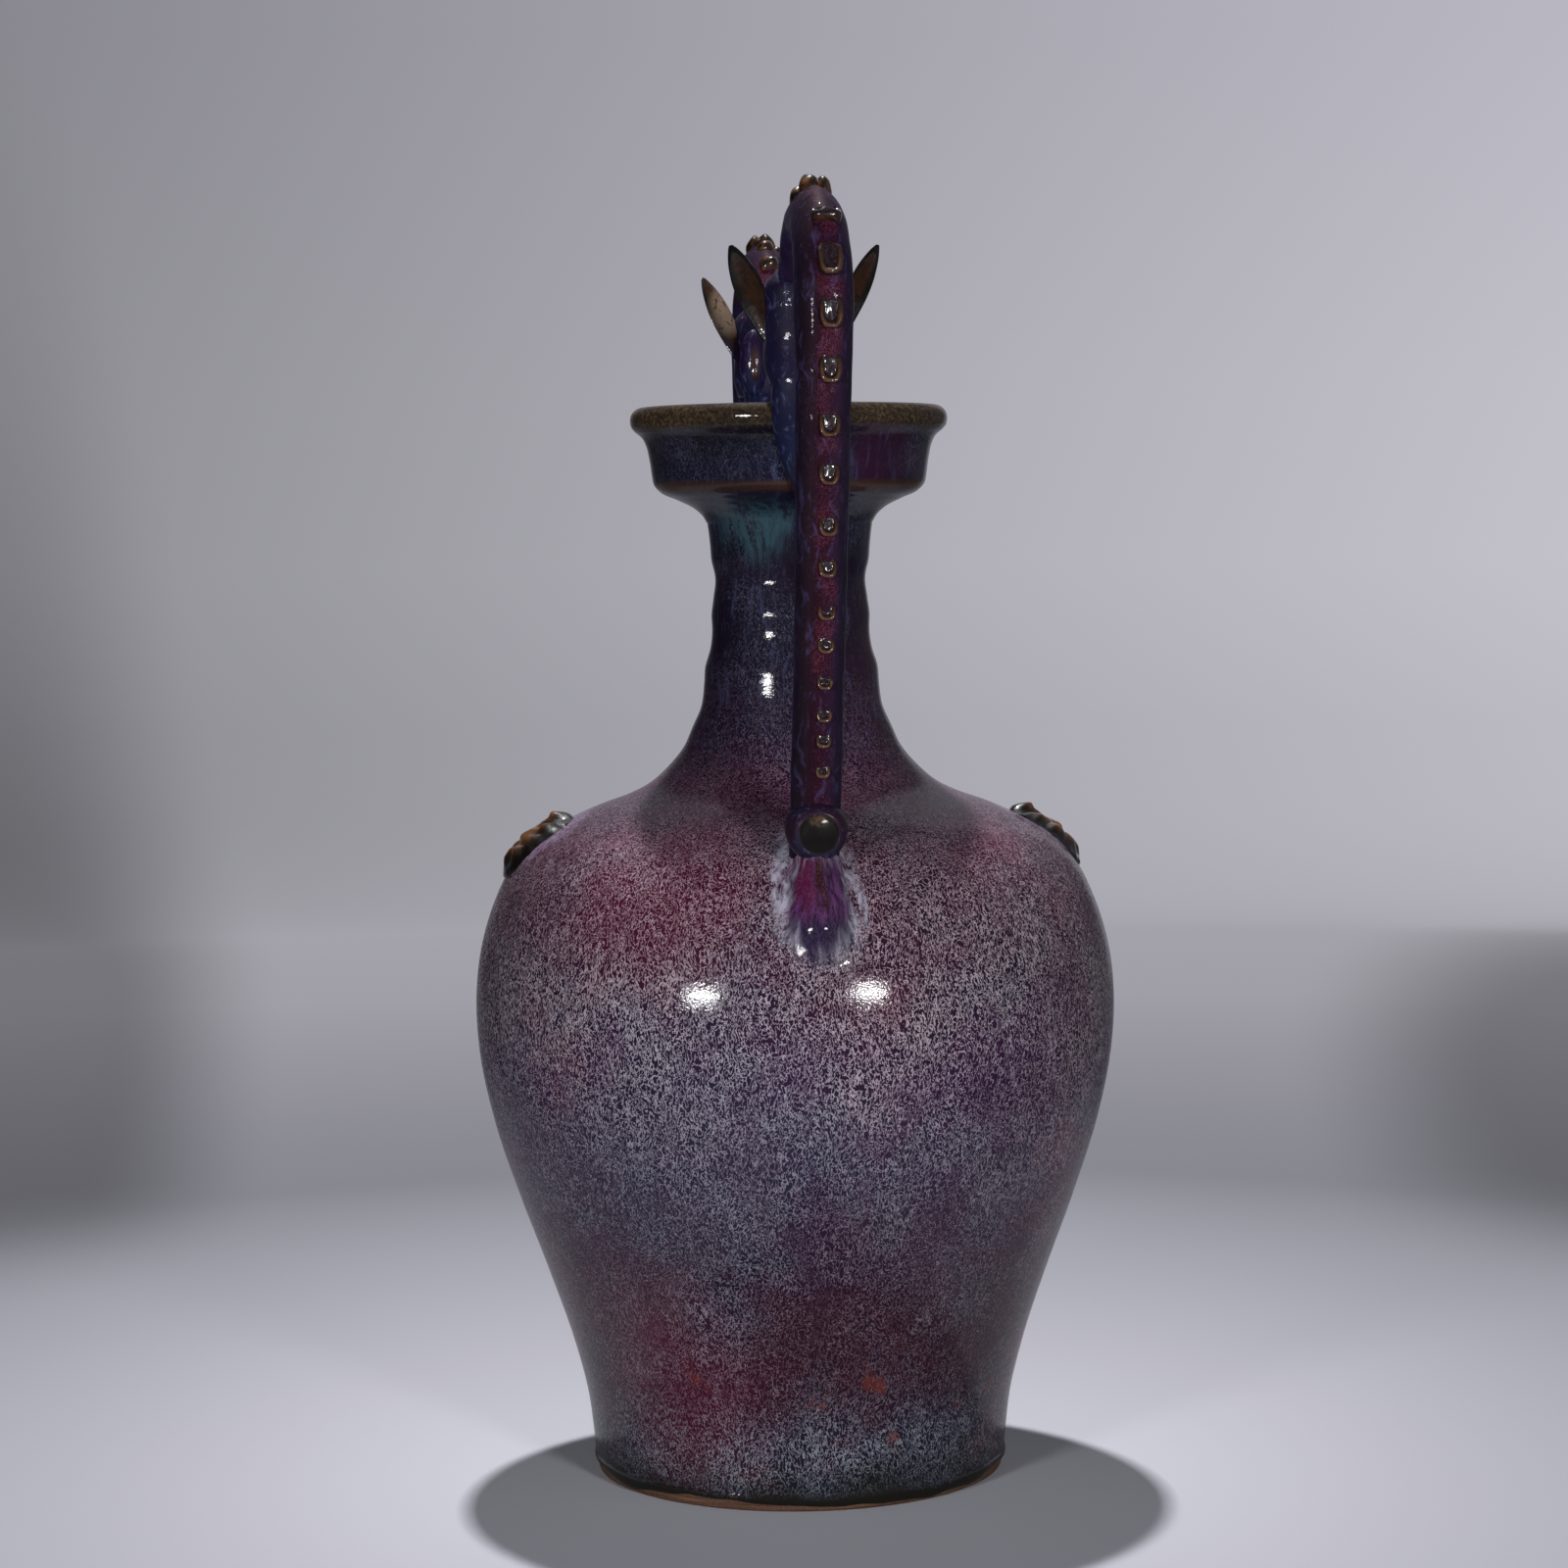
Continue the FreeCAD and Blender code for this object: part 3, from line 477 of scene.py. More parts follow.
def dragon_glaze():
    """Purple and navy of the head and the rolled tail, with faint running streaks."""
    g = Glaze("dragon_glaze")
    place = g.moved(g.place, g.drift(90.0), 0.01)
    running = g.vector("MULTIPLY", place, (1.0, 1.0, 0.2))
    streaks = g.grain(running, 620.0, 3.0, 0.65)
    patches = g.grain(g.place, 60.0, 3.0)
    tone = g.sum("MULTIPLY_ADD", g.sum("SUBTRACT", patches, 0.5), 0.06, g.z)
    colours = g.ramp(g.sum("DIVIDE", g.sum("SUBTRACT", tone, 0.19), 0.2), (0.0, "2a1626"), (0.25, "1c1120"),
                     (0.60, "13142c"), (0.70, "171a36"), (0.80, "1d1130"), (0.90, "200e2a"), (1.0, "1e0d24"))
    colours = g.blend(g.times(g.fade(patches, 0.48, 0.6), 0.5), colours, "131c36")
    colours = g.blend(g.times(g.fade(streaks, 0.54, 0.74), 0.6), colours, "565c88")
    amber = g.fade(g.mark("amber"), 0.35, 0.8)
    colours = g.blend(g.times(amber, 0.8), colours, "3c2420")
    # Painted highlight: a pale brown patch near the top of the tail's dark end disc
    painted_light_patch = g.fade(g.gap(g.handle_side, (90, -2.0, 213.2), (60, 4.4, 2.2)), 1.1, 0.5)
    face = g.blend(g.times(painted_light_patch, g.fade(g.grain(g.place, 700.0, 3.0, 0.7), 0.35, 0.6)), "0d0a09", "4a382a")
    colours = g.blend(g.fade(g.mark("disc"), 0.3, 0.8), colours, face)
    skin = g.sum("ADD", g.times(streaks, 0.7), g.grain(g.place, 260.0, 2.0))
    g.coat(colours, 0.5, g.bumps(skin, 0.00012), 0.16, 0.06, 0.1)
    return g.finish


def brown_glaze(name, *stops, fleck=0.0):
    """Thick brown-black glaze that thins to amber along the raised edges."""
    g = Glaze(name)
    patches = g.grain(g.place, 330.0, 3.0, 0.6)
    raised = g.sum("MULTIPLY_ADD", g.sum("SUBTRACT", patches, 0.5), 0.9, g.mark("raised"))
    colours = g.ramp(raised, *stops)
    if fleck:
        spots = g.worms(g.vector("MULTIPLY", g.place, (1.0, 1.0, 0.6)), 1300.0, 0.35)
        hollow = g.fade(g.mark("raised"), 0.5, 0.1)
        colours = g.blend(g.times(g.times(spots, hollow), fleck), colours, "8a7488")
    g.coat(colours, 0.35, g.bumps(g.grain(g.place, 500.0, 2.0), 0.00012), 0.75, 0.04, 0.2)
    return g.finish


def ear_glaze():
    """Black rim round a brown hollow; the far dragon's ears are purple low down, with painted light in pale brown
    above.
    """
    g = Glaze("ear_glaze")
    patches = g.grain(g.place, 420.0, 3.0, 0.6)
    raised = g.sum("MULTIPLY_ADD", g.sum("SUBTRACT", patches, 0.5), 0.9, g.mark("raised"))
    colours = g.ramp(raised, (0.0, "3a2113"), (0.2, "22170f"), (0.5, "130f0c"), (0.72, "0b0b0a"), (0.95, "33241a"))
    # Painted light: a pale brown lit patch on the far dragon's ear
    painted_light_patch = g.fade(g.gap(g.place, (-46, -14.5, 370), (30, 6.5, 9)), 1.2, 0.5)
    painted_light_patch = g.times(painted_light_patch, g.fade(patches, 0.28, 0.50))
    colours = g.blend(g.times(painted_light_patch, 0.8), colours, "a8907c")
    low = g.times(g.fade(g.sum("MULTIPLY_ADD", patches, 0.008, g.z), 0.366, 0.358), g.fade(g.x, 0.0, -0.02))
    colours = g.blend(low, colours, "21152f")
    g.coat(colours, 0.4, g.bumps(g.grain(g.place, 500.0, 2.0), 0.00015), 0.5, 0.06, 0.15)
    return g.finish


def bare_clay():
    """Brown stoneware, wheel-turned and gritty, dry to the touch."""
    g = Glaze("bare_clay")
    rings = g.grain(g.vector("MULTIPLY", g.place, (0.05, 0.05, 1.0)), 1400.0, 2.0)
    grit = g.grain(g.place, 1600.0, 3.0, 0.7)
    tone = g.sum("MULTIPLY_ADD", rings, 0.5, g.times(grit, 0.5))
    colours = g.ramp(tone, (0.3, "3b2a22"), (0.5, "5a4033"), (0.7, "7b5c49"))
    g.coat(colours, 0.8, g.bumps(tone, 0.0003), 0.0, 0.5)
    return g.finish


VESSEL = vessel_glaze()
DRAGON = dragon_glaze()
STRAP = strap_glaze()
AMBER = brown_glaze("amber_glaze", (0.1, "0e0a08"), (0.5, "2c1a0e"), (0.9, "674225"))
SCUTE = brown_glaze("scute_glaze", (0.1, "16080f"), (0.35, "1c0c0e"), (0.6, "36200f"), (0.95, "54392a"), fleck=0.15)
EAR = ear_glaze()
CLAY = bare_clay()


def thrown(first, last, step=1.2, skirt=(), segments=192):
    """Wall between two stations of the outline."""
    outer = smooth_line(OUTSIDE, step, first, last)
    inner = smooth_line(INSIDE, step * 3, first, last)
    return turned(list(skirt) + outer + inner[::-1], segments)


def fingered(bm):
    """Faint throwing rings and a slightly soft roundness on the outer skin."""
    for vert in bm.verts:
        radius = math.hypot(vert.co.x, vert.co.y)
        turns = 0.5 + 0.5 * math.sin(vert.co.z * 1.15 + 2.0 * noise.noise(vert.co / 40))
        soft = 0.5 + 0.5 * noise.noise(vert.co / 26)
        scale = 1 - (0.02 * turns + 0.22 * soft) / radius
        vert.co.x *= scale
        vert.co.y *= scale


# Glaze that hangs over the top of the foot in a wavy edge
skirt = smooth_line([(64.9, 6.0), (64.8, 4.4), (64.95, 3.2), (65.4, 3.1), (65.85, 4.0), (65.8, 5.2)], 0.4)
lower = thrown(0, BELLY, skirt=skirt)
for vert in lower.verts:
    if vert.co.z < 5.95 and vert.co.xy.length > 62:
        angle = math.atan2(vert.co.y, vert.co.x)
        wave = noise.noise(Vector((math.cos(angle), math.sin(angle), 0.3)) * 2.2)
        wave += 0.4 * noise.noise(Vector((math.cos(angle), math.sin(angle), 1.7)) * 7.0)
        vert.co.z = 6 - (6 - vert.co.z) * (1.15 + 0.75 * wave)
fingered(lower)
fired(lower, "lower_body_wall", "body_glaze", VESSEL, "lower_body")

# Run of thick glaze below each tail: the radius of its front by height, its half width and its middle
RUN_FRONT = [(168.0, 97.0), (174.0, 99.6), (182.0, 99.6), (190.0, 97.3), (197.0, 95.6), (203.0, 94.2), (206.5, 91.0),
             (209.0, 80.0)]
RUN_HALF_WIDTH = 7.2
RUN_WIDENING = 3.0
RUN_MIDDLE = -2.2


def run_of_glaze(bm):
    """Pushes the outer skin of the wall out to the front of the run."""
    low, high = RUN_FRONT[0][0], RUN_FRONT[-1][0]
    for vert in bm.verts:
        height, radius = vert.co.z, vert.co.xy.length
        if abs(vert.co.x) < 60 or radius < 58 or not low < height < high:
            continue
        across = vert.co.y * math.copysign(1, vert.co.x) - RUN_MIDDLE
        half_width = RUN_HALF_WIDTH + RUN_WIDENING * math.sin(math.pi * (height - low) / (high - low))
        share = max(0.0, 1 - (across / half_width) ** 2) ** 1.4
        push = max(0.0, read_off(RUN_FRONT, height) - radius) * share
        vert.co += Vector((vert.co.x, vert.co.y, 0)).normalized() * push


upper = thrown(BELLY, NECK_ROOT, segments=288)
fingered(upper)
run_of_glaze(upper)
fired(upper, "upper_body_wall", "body_glaze", VESSEL, "upper_body")

neck = thrown(NECK_ROOT, THROAT, 0.8)
fingered(neck)
fired(neck, "ribbed_neck", "body_glaze", VESSEL, "neck")

dish_outline = smooth_line(DISH_OUTSIDE, 0.8)[:-1] + smooth_line(DISH_LIP, 0.6)[:-1] + smooth_line(DISH_INSIDE, 1.2)
dish = turned(dish_outline, 192)
fingered(dish)
fired(dish, "dish_wall", "body_glaze", VESSEL, "dish_mouth")

floor_outline = [(0, 6.0), (58.5, 6.0), (60.0, 6.0), (60.6, 9.0), (61.4, 13.6), (59.5, 13.2), (50, 13.4), (30, 13.7),
                 (8, 13.9), (0, 13.9)]
base = turned(smooth_line(floor_outline, 3.0), 96, closed=False)
fired(base, "inner_floor", "body_glaze", VESSEL, "base_floor")

ring_outline = [(53.5, 1.0), (53.8, 0.35), (54.5, 0.0), (59.0, 0.0), (63.5, 0.0), (64.2, 0.3), (64.5, 1.0),
                (64.9, 3.0), (65.4, 5.6), (65.2, 6.0), (53.5, 6.0), (53.5, 3.5)]
ring = turned([Vector((radius, 0, height)) for radius, height in ring_outline], 192)
fired(ring, "turned_foot", "bare_clay", CLAY, "foot_ring", sharp=70)


ROSETTE_RADIUS = 14.4


def rosette(turn, name, node):
    """Relief rosette on the shoulder: domed disc, eight petals, a boss and a stalk bead."""
    outline = [Vector((0, 0, -5.0)), Vector((ROSETTE_RADIUS, 0, -5.0))]
    outline += [Vector((ROSETTE_RADIUS - ROSETTE_RADIUS * step / 26, 0, 1.0)) for step in range(27)]
    bm = turned(outline, 96, closed=False)
    for vert in bm.verts:
        if vert.co.z < 0:
            continue
        radius = vert.co.xy.length
        angle = math.atan2(vert.co.y, vert.co.x)
        share = radius / ROSETTE_RADIUS
        dome = -1.8 * share ** 2 + 3.0 * max(0.0, 1 - share ** 2) ** 0.8
        petal = max(0.0, math.cos(angle * 8 + 0.5 * noise.noise(vert.co / 5)) * 0.5 + 0.5) ** 0.7
        petal *= math.exp(-((radius - 9.0) / 3.0) ** 2)
        boss = math.exp(-(radius / 3.4) ** 4)
        stalk = math.exp(-((vert.co - Vector((-12.0, 0, 1.0))).length / 2.8) ** 4)
        vert.co.z = dome + 1.6 * petal + 1.3 * boss + 1.7 * stalk + 0.8 * noise.noise(vert.co / 3.2)
        vert.co.x *= 1 + 0.05 * noise.noise(Vector((math.cos(angle), math.sin(angle), 0.5)) * 1.5)
    mark(bm, "raised", lambda place: max(0.0, min(1.0, (place.z - 0.4) / 3.4)))
    rotate(bm, math.degrees(math.atan2(SHOULDER_NORMAL.x, SHOULDER_NORMAL.z)), "Y")
    bmesh.ops.translate(bm, verts=bm.verts, vec=SHOULDER_SEAT)
    fired(bm, name, "brown_glaze", AMBER, node, turn=turn)


rosette(-90, "front_rosette", "front_medallion")
rosette(90, "back_rosette", "back_medallion")

# Dragons: shares of the half width and of the depth round the strap's section, back first
FLAT = [(0.0, 1.0), (0.50, 0.95), (0.82, 0.66), (1.0, 0.05), (0.90, -0.62), (0.50, -0.95), (0.0, -1.0)]
KEELED = [(0.0, 1.0), (0.36, 0.86), (0.68, 0.58), (0.98, -0.05), (0.90, -0.62), (0.50, -0.95), (0.0, -1.0)]
ROUND = [(0.0, 1.0), (0.48, 0.90), (0.86, 0.55), (1.0, 0.0), (0.86, -0.58), (0.48, -0.92), (0.0, -1.0)]

# How far the strap has grown to its full section, by its share of the strut's length
GROWTH = [(0.0, 0.0), (0.15, 0.02), (0.30, 0.05), (0.50, 0.15), (0.65, 0.25), (0.80, 0.46), (0.91, 0.78),
          (1.0, 1.0)]


def section(shares):
    """Even places round a closed section, as shares of its half width and depth."""
    loop = shares[:-1] + [(-side, depth) for side, depth in shares[:0:-1]]
    points = [Vector((side, depth, 0)) for side, depth in loop]
    count = len(points)
    extended = points[-2:] + points + points[:3]
    line = smooth_line([tuple(point) for point in extended], 0.17, 2, 2 + count, pieces=3)
    return [(point.x, point.y) for point in line[:-1]]


FLAT_SECTION = section(FLAT)
KEELED_SECTION = section(KEELED)
ROUND_SECTION = section(ROUND)


def mixed(first, second, share):
    """Section part way from one to another with as many places."""
    return [(a[0] + (b[0] - a[0]) * share, a[1] + (b[1] - a[1]) * share) for a, b in zip(first, second)]


def ring_places(centre, outward, half_width, front, rear, shape):
    """Places round a section with its own depth outwards and inwards."""
    return [centre + SIDE * (half_width * side) + outward * (depth * (front if depth > 0 else rear))
            for side, depth in shape]


class Handle:
    """Middle line and sizes of one dragon."""

    def __init__(self, head_height, drift):
        self.head_height = head_height
        self.drift = drift
        self.spring = LIP_TOP + head_height - ARCH_RADIUS * math.sin(ARCH_END)
        rise = self.spring - SHOULDER_SEAT.z
        lean = REACH - SHOULDER_SEAT.x
        self.bow = (rise * rise + lean * lean) / (2 * lean)
        self.strut_length = self.bow * math.asin(rise / self.bow)

    def frame(self, length):
        """Middle and outward direction at a length up the back."""
        if length <= self.strut_length:
            angle = (length - self.strut_length) / self.bow
            outward = Vector((math.cos(angle), 0, math.sin(angle)))
            middle = Vector((REACH - self.bow, 0, self.spring)) + outward * self.bow
            return middle + SIDE * self.drift * (1 - length / self.strut_length), outward
        angle = (length - self.strut_length) / ARCH_RADIUS
        outward = Vector((math.cos(angle), 0, math.sin(angle)))
        return Vector((REACH - ARCH_RADIUS, 0, self.spring)) + outward * ARCH_RADIUS, outward

    def grown(self, size, length):
        """A size of the strap at a length up the back, from its size at the tail and its gain."""
        return size[0] + size[1] * read_off(GROWTH, min(max(length / self.strut_length, 0), 1))


def strap(handle):
    """The dragon's body: a flat-backed strap from the shoulder over the keeled arch."""
    end = handle.strut_length + ARCH_RADIUS * ARCH_END
    count = round((end - STRAP_START) / STRAP_STEP)
    rings, shapes = [], []
    for index in range(count + 1):
        length = STRAP_START + (end - STRAP_START) * index / count
        middle, outward = handle.frame(length)
        turn = max(0.0, (length - handle.strut_length) / ARCH_RADIUS / ARCH_END)
        half_width = handle.grown(STRAP_HALF_WIDTH, length) - ARCH_NARROWING * math.sin(math.pi * min(1.0, turn))
        shape = mixed(FLAT_SECTION, KEELED_SECTION, min(1.0, turn / 0.5) ** 0.8)
        shapes.append(shape)
        rings.append(ring_places(middle, outward, half_width, handle.grown(STRAP_BACK, length),
                                 handle.grown(STRAP_FRONT, length), shape))
    bm = lofted(rings)
    back = bm.verts.layers.float.new("back")
    across = bm.verts.layers.float.new("across")
    around = len(FLAT_SECTION)
    bm.verts.ensure_lookup_table()
    for index, vert in enumerate(bm.verts):
        side, depth = shapes[index // around][index % around]
        vert[back] = 0.5 + 0.5 * depth
        vert[across] = side
    uneven(bm, 9.0, 0.5)
    return bm


# Lengths up the back to each plate on a strut 166 mm long: close together low down, wider apart above
PLATE_STRUT = 166.0
PLATE_LENGTHS = (29.0, 38.0, 45.7, 55.4, 66.2, 76.0, 88.6, 100.7, 115.6, 129.6, 145.3, 161.0, 173.6, 185.2)
PLATE_POINTS = 32
PLATE_ROOT = -1.6
PLATE_SINK = 0.25
PLATE_SHIFT = 1.0

# Rings of a plate: share of its outline, share of its height (below 0 for its root), and how raised
# it counts for the glaze. The topmost plate is a plain bar.
PLATE_RINGS = [(1.0, -1.0, 0.0), (1.0, 0.15, 0.1), (1.02, 0.72, 0.5), (0.94, 0.98, 0.9), (0.84, 1.0, 1.0),
               (0.72, 0.85, 0.8), (0.60, 0.20, 0.1), (0.44, 0.0, 0.0), (0.20, 0.1, 0.0)]
BAR_RINGS = [(1.0, -1.0, 0.2), (1.02, 0.3, 0.6), (0.98, 0.72, 0.5), (0.84, 0.92, 0.2), (0.6, 1.0, 0.1),
             (0.3, 1.02, 0.1)]


def plate(length, width, height, profile):
    """Tongue-shaped plate: a raised rim round a glaze pool, flush above and proud below."""
    rings, worths = [], []
    for share, rise, raised in profile:
        ring = []
        for step in range(PLATE_POINTS):
            angle = math.tau * step / PLATE_POINTS
            squareness = 0.75 if math.sin(angle) < 0 else 0.5
            x = math.copysign(abs(math.cos(angle)) ** 0.6, math.cos(angle)) * width / 2
            y = math.copysign(abs(math.sin(angle)) ** squareness, math.sin(angle)) * length / 2
            x *= 1 - 0.12 * max(0.0, -y / length)
            down = max(0.0, 0.5 - y / length)
            x, y = x * share, y * (1 - (1 - share) * width / length)
            top = 0.12 + height * down ** 0.8
            if rise < 0:
                z = PLATE_ROOT
            elif rise > 0.7:
                z = top * rise
            else:
                z = max(0.5, top - (1 - rise) * 0.75 * height * min(1.0, 1.6 * down))
            ring.append(Vector((x, y, z - 0.014 * x * x)))
        rings.append(ring)
        worths.append(raised)
    return rings, worths


def scutes(handle):
    """Row of pinched plates up the back."""
    whole = bmesh.new()
    last = len(PLATE_LENGTHS) - 1
    for index, measured in enumerate(PLATE_LENGTHS):
        length_up = measured * handle.strut_length / PLATE_STRUT
        share = index / last
        length, width, height = 3.6 + 7.6 * share ** 1.9, 4.0 + 3.0 * share ** 1.5, 1.6 + 1.2 * share
        if index == last:
            length, width, height = 5.2, 8.4, 2.8
        middle, outward = handle.frame(length_up)
        upward = outward.cross(SIDE)
        seat = middle + outward * (handle.grown(STRAP_BACK, length_up) - PLATE_SINK) + SIDE * PLATE_SHIFT
        rings, worths = plate(length, width, height, BAR_RINGS if index == last else PLATE_RINGS)
        bm = lofted([[seat + SIDE * p.x + upward * p.y + outward * p.z for p in ring] for ring in rings])
        layer = bm.verts.layers.float.new("raised")
        bm.verts.ensure_lookup_table()
        for number, vert in enumerate(bm.verts):
            down = max(0.0, 0.5 - (vert.co - seat).dot(upward) / length)
            vert[layer] = worths[number // PLATE_POINTS] * (0.35 + 0.65 * down)
        piece = bpy.data.meshes.new("plate")
        bm.to_mesh(piece)
        bm.free()
        whole.from_mesh(piece)
        bpy.data.meshes.remove(piece)
    uneven(whole, 2.0, 0.5)
    return whole


def beads(places):
    """Glossy beads and lobes of clay, each a little lumpy, from their centres and half sizes."""
    bm = bmesh.new()
    for place, sizes in places:
        made = bmesh.ops.create_icosphere(bm, subdivisions=3, radius=1.0)["verts"]
        for vert in made:
            push = 1 + 0.175 * noise.noise(vert.co * 1.3 + place)
            vert.co = Vector([part * size * push for part, size in zip(vert.co, sizes)]) + place
    mark(bm, "raised", lambda place: 0.5 + 0.7 * noise.noise(place / 2.2))
    return bm


def crest(handle):
    """Five lobes in a knot on top of the arch, and two beads on its way down to the forehead."""
    top = handle.strut_length + ARCH_RADIUS * math.radians(90)
    middle = handle.frame(top)[0]
    places = []
    for across, along, drop, sizes in ((-4.6, 0.6, 4.4, (3.0, 2.6, 4.4)), (-1.3, 0.6, 1.4, (3.6, 3.2, 5.2)),
                                       (2.6, 0.4, 1.6, (3.4, 2.8, 4.8)), (0.6, 5.0, 4.6, (3.4, 4.4, 3.4)),
                                       (1.2, 7.6, 7.0, (2.6, 3.6, 3.0))):
        places.append((middle + Vector((along, across, 8.2 - drop)), sizes))
    for step, sizes in ((10.0, (3.1, 2.8, 2.9)), (23.4, (3.2, 3.2, 3.3))):
        centre, outward = handle.frame(top + step * ARCH_RADIUS / (ARCH_RADIUS + 8.4))
        places.append((centre + outward * 7.8, sizes))
    return beads(places)


# Rolled tail: radius and height of its outline, its tilt, and the size of the disc at its end
KNOB_TILT = 97
KNOB_DISC_RADIUS = 5.9
KNOB_DISC_HEIGHT = 16.2
KNOB_OUTLINE = [(0.0, 0.0), (5.6, 0.1), (7.6, 2.6), (8.8, 6.0), (9.0, 9.4), (8.8, 13.0), (7.9, 15.8), (6.6, 17.3),
                (6.1, 17.5), (5.7, 17.3), (5.2, 17.3), (4.0, 17.6), (2.0, 17.9), (0.0, 18.0)]


def tail_knob(handle):
    """Rolled tail end: a fat roll with a flat disc, facing out and slightly down."""
    middle = handle.frame(9.4)[0]
    bm = turned(smooth_line(KNOB_OUTLINE, 0.7), 64, closed=False)
    mark(bm, "disc", lambda place: float(place.z > KNOB_DISC_HEIGHT and place.xy.length < KNOB_DISC_RADIUS))
    rotate(bm, KNOB_TILT, "Y")
    bmesh.ops.translate(bm, verts=bm.verts, vec=Vector((middle.x - 7.0, middle.y, SHOULDER_SEAT.z + 10.6)))
    uneven(bm, 6.0, 0.4)
    return bm


# Rings of the skull from the arch down: share of the head's height, depths in front and behind, width
SKULL = [(0.93, 0.84, 0.72, 0.97), (0.73, 1.0, 0.74, 1.0), (0.48, 1.18, 0.76, 1.0), (0.28, 1.22, 0.66, 0.92)]


def head_rings(handle):
    """The skull's rings, from the end of the arch to the line where the jaws begin."""
    middle, outward = handle.frame(handle.strut_length + ARCH_RADIUS * ARCH_END)
    rows = [ring_places(middle, outward, 8.9, 8.4, 7.6, ROUND_SECTION)]
    for height, front, rear, width in SKULL:
        centre = Vector((HEAD_LINE, 0, LIP_TOP + handle.head_height * height))
        rows.append(ring_places(centre, -OUT, HEAD_HALF_WIDTH * width, HEAD_HALF_DEPTH * front,
                                HEAD_HALF_DEPTH * rear, ROUND_SECTION))
    centre = Vector((HEAD_LINE, 0, JAW_LINE))
    rows.append(ring_places(centre, -OUT, 10.3, 14.5, 6.75, ROUND_SECTION))
    return rows


def fine_rings(rows, step):
    """More rings between the given ones, on smooth lines along the form."""
    lines = [smooth_line([row[index] for row in rows], 1.0) for index in range(len(rows[0]))]
    rings = []
    count = round(sum((low[0] - high[0]).length for low, high in zip(rows, rows[1:])) / step)
    for place in range(count + 1):
        share = place / count
        ring = []
        for line in lines:
            spot = share * (len(line) - 1)
            start = min(int(spot), len(line) - 2)
            ring.append(line[start].lerp(line[start + 1], spot - start))
        rings.append(ring)
    return rings


def head(handle):
    """Skull with its cheeks and forehead swelling out a little."""
    bm = lofted(fine_rings(head_rings(handle), 1.2))
    level = LIP_TOP + handle.head_height * 0.3
    for side in (-1, 1):
        swell(bm, Vector((47, 12 * side, level)), 9.0, Vector((0, 1.6 * side, 0)))
        swell(bm, Vector((38, 5 * side, level + 16)), 6.0, Vector((-1.6, 0.8 * side, 0)))
    uneven(bm, 8.0, 0.5)
    return bm


def jaw_rings(length, shares):
    """Rings of a jaw of that length: share of it downwards, setback, depth and width."""
    rows = []
    for down, setback, depth, width in shares:
        centre = Vector((HEAD_LINE - HEAD_HALF_DEPTH * setback, 0, JAW_LINE - length * down))
        rows.append(ring_places(centre, -OUT, HEAD_HALF_WIDTH * width, HEAD_HALF_DEPTH * depth,
                                HEAD_HALF_DEPTH * depth, ROUND_SECTION))
    return rows


SNOUT_LENGTH = 19.0
CHIN_LENGTH = 33.0
SNOUT = [(-0.1, 0.55, 0.58, 0.78), (0.0, 0.62, 0.60, 0.80), (0.32, 0.94, 0.62, 0.77), (0.68, 1.22, 0.48, 0.66),
         (1.0, 1.34, 0.28, 0.44)]
CHIN = [(-0.06, -0.2, 0.46, 0.84), (0.0, -0.16, 0.50, 0.86), (0.15, -0.06, 0.54, 0.88), (0.33, 0.05, 0.52, 0.84),
        (0.48, 0.24, 0.48, 0.76), (0.67, 0.40, 0.40, 0.60), (0.88, 0.62, 0.28, 0.30), (1.0, 0.74, 0.14, 0.15)]


def snout():
    """Upper jaw inside the dish, with two nostrils."""
    bm = lofted(fine_rings(jaw_rings(SNOUT_LENGTH, SNOUT), 1.2))
    for side in (-1, 1):
        swell(bm, Vector((32, 4.5 * side, 333)), 4.0, Vector((-1.5, 0.6 * side, 0.4)))
        swell(bm, Vector((30, 4.2 * side, 331)), 1.8, Vector((1.4, 0, 0.4)))
    uneven(bm, 7.0, 0.3)
    return bm


def chin():
    """Lower jaw outside the dish, running to a point under it."""
    bm = lofted(fine_rings(jaw_rings(CHIN_LENGTH, CHIN), 1.2))
    uneven(bm, 7.0, 0.5)
    return bm


def ear(handle, side):
    """Cupped leaf, broadest above its middle, with a dark rim; side is -1 for the front ear, 1 for the back."""
    bm = bmesh.new()
    bmesh.ops.create_grid(bm, x_segments=14, y_segments=26, size=1.0)
    layer = bm.verts.layers.float.new("raised")
    for vert in bm.verts:
        across, along = vert.co.x, 0.5 + 0.5 * vert.co.y
        half = 6.0 * math.sin(math.pi * min(1.0, 0.06 + 0.94 * along) ** 1.35) ** 0.75 + 0.2
        rim = max(abs(across), abs(2 * along - 1) ** 8)
        vert[layer] = 0.05 + 0.63 * max(0.0, min(1.0, (rim - 0.66) / 0.22))
        cup = (across * across - 1.0) * 2.3 * math.sin(math.pi * along) ** 0.8
        vert.co = Vector((across * half, cup + 2.0 * along * along, 33.5 * along))
    bmesh.ops.solidify(bm, geom=bm.verts[:] + bm.edges[:] + bm.faces[:], thickness=2.4)
    bm.normal_update()
    for vert in bm.verts:
        vert.co.y *= side
    for angle, axis in ((-40 * side, "Z"), (8, "Y"), (-20 * side, "X")):
        rotate(bm, angle, axis)
    root = Vector((HEAD_LINE - 6.25, side * 9.8, LIP_TOP + handle.head_height / 2 - 2.2))
    bmesh.ops.translate(bm, verts=bm.verts, vec=root)
    return bm


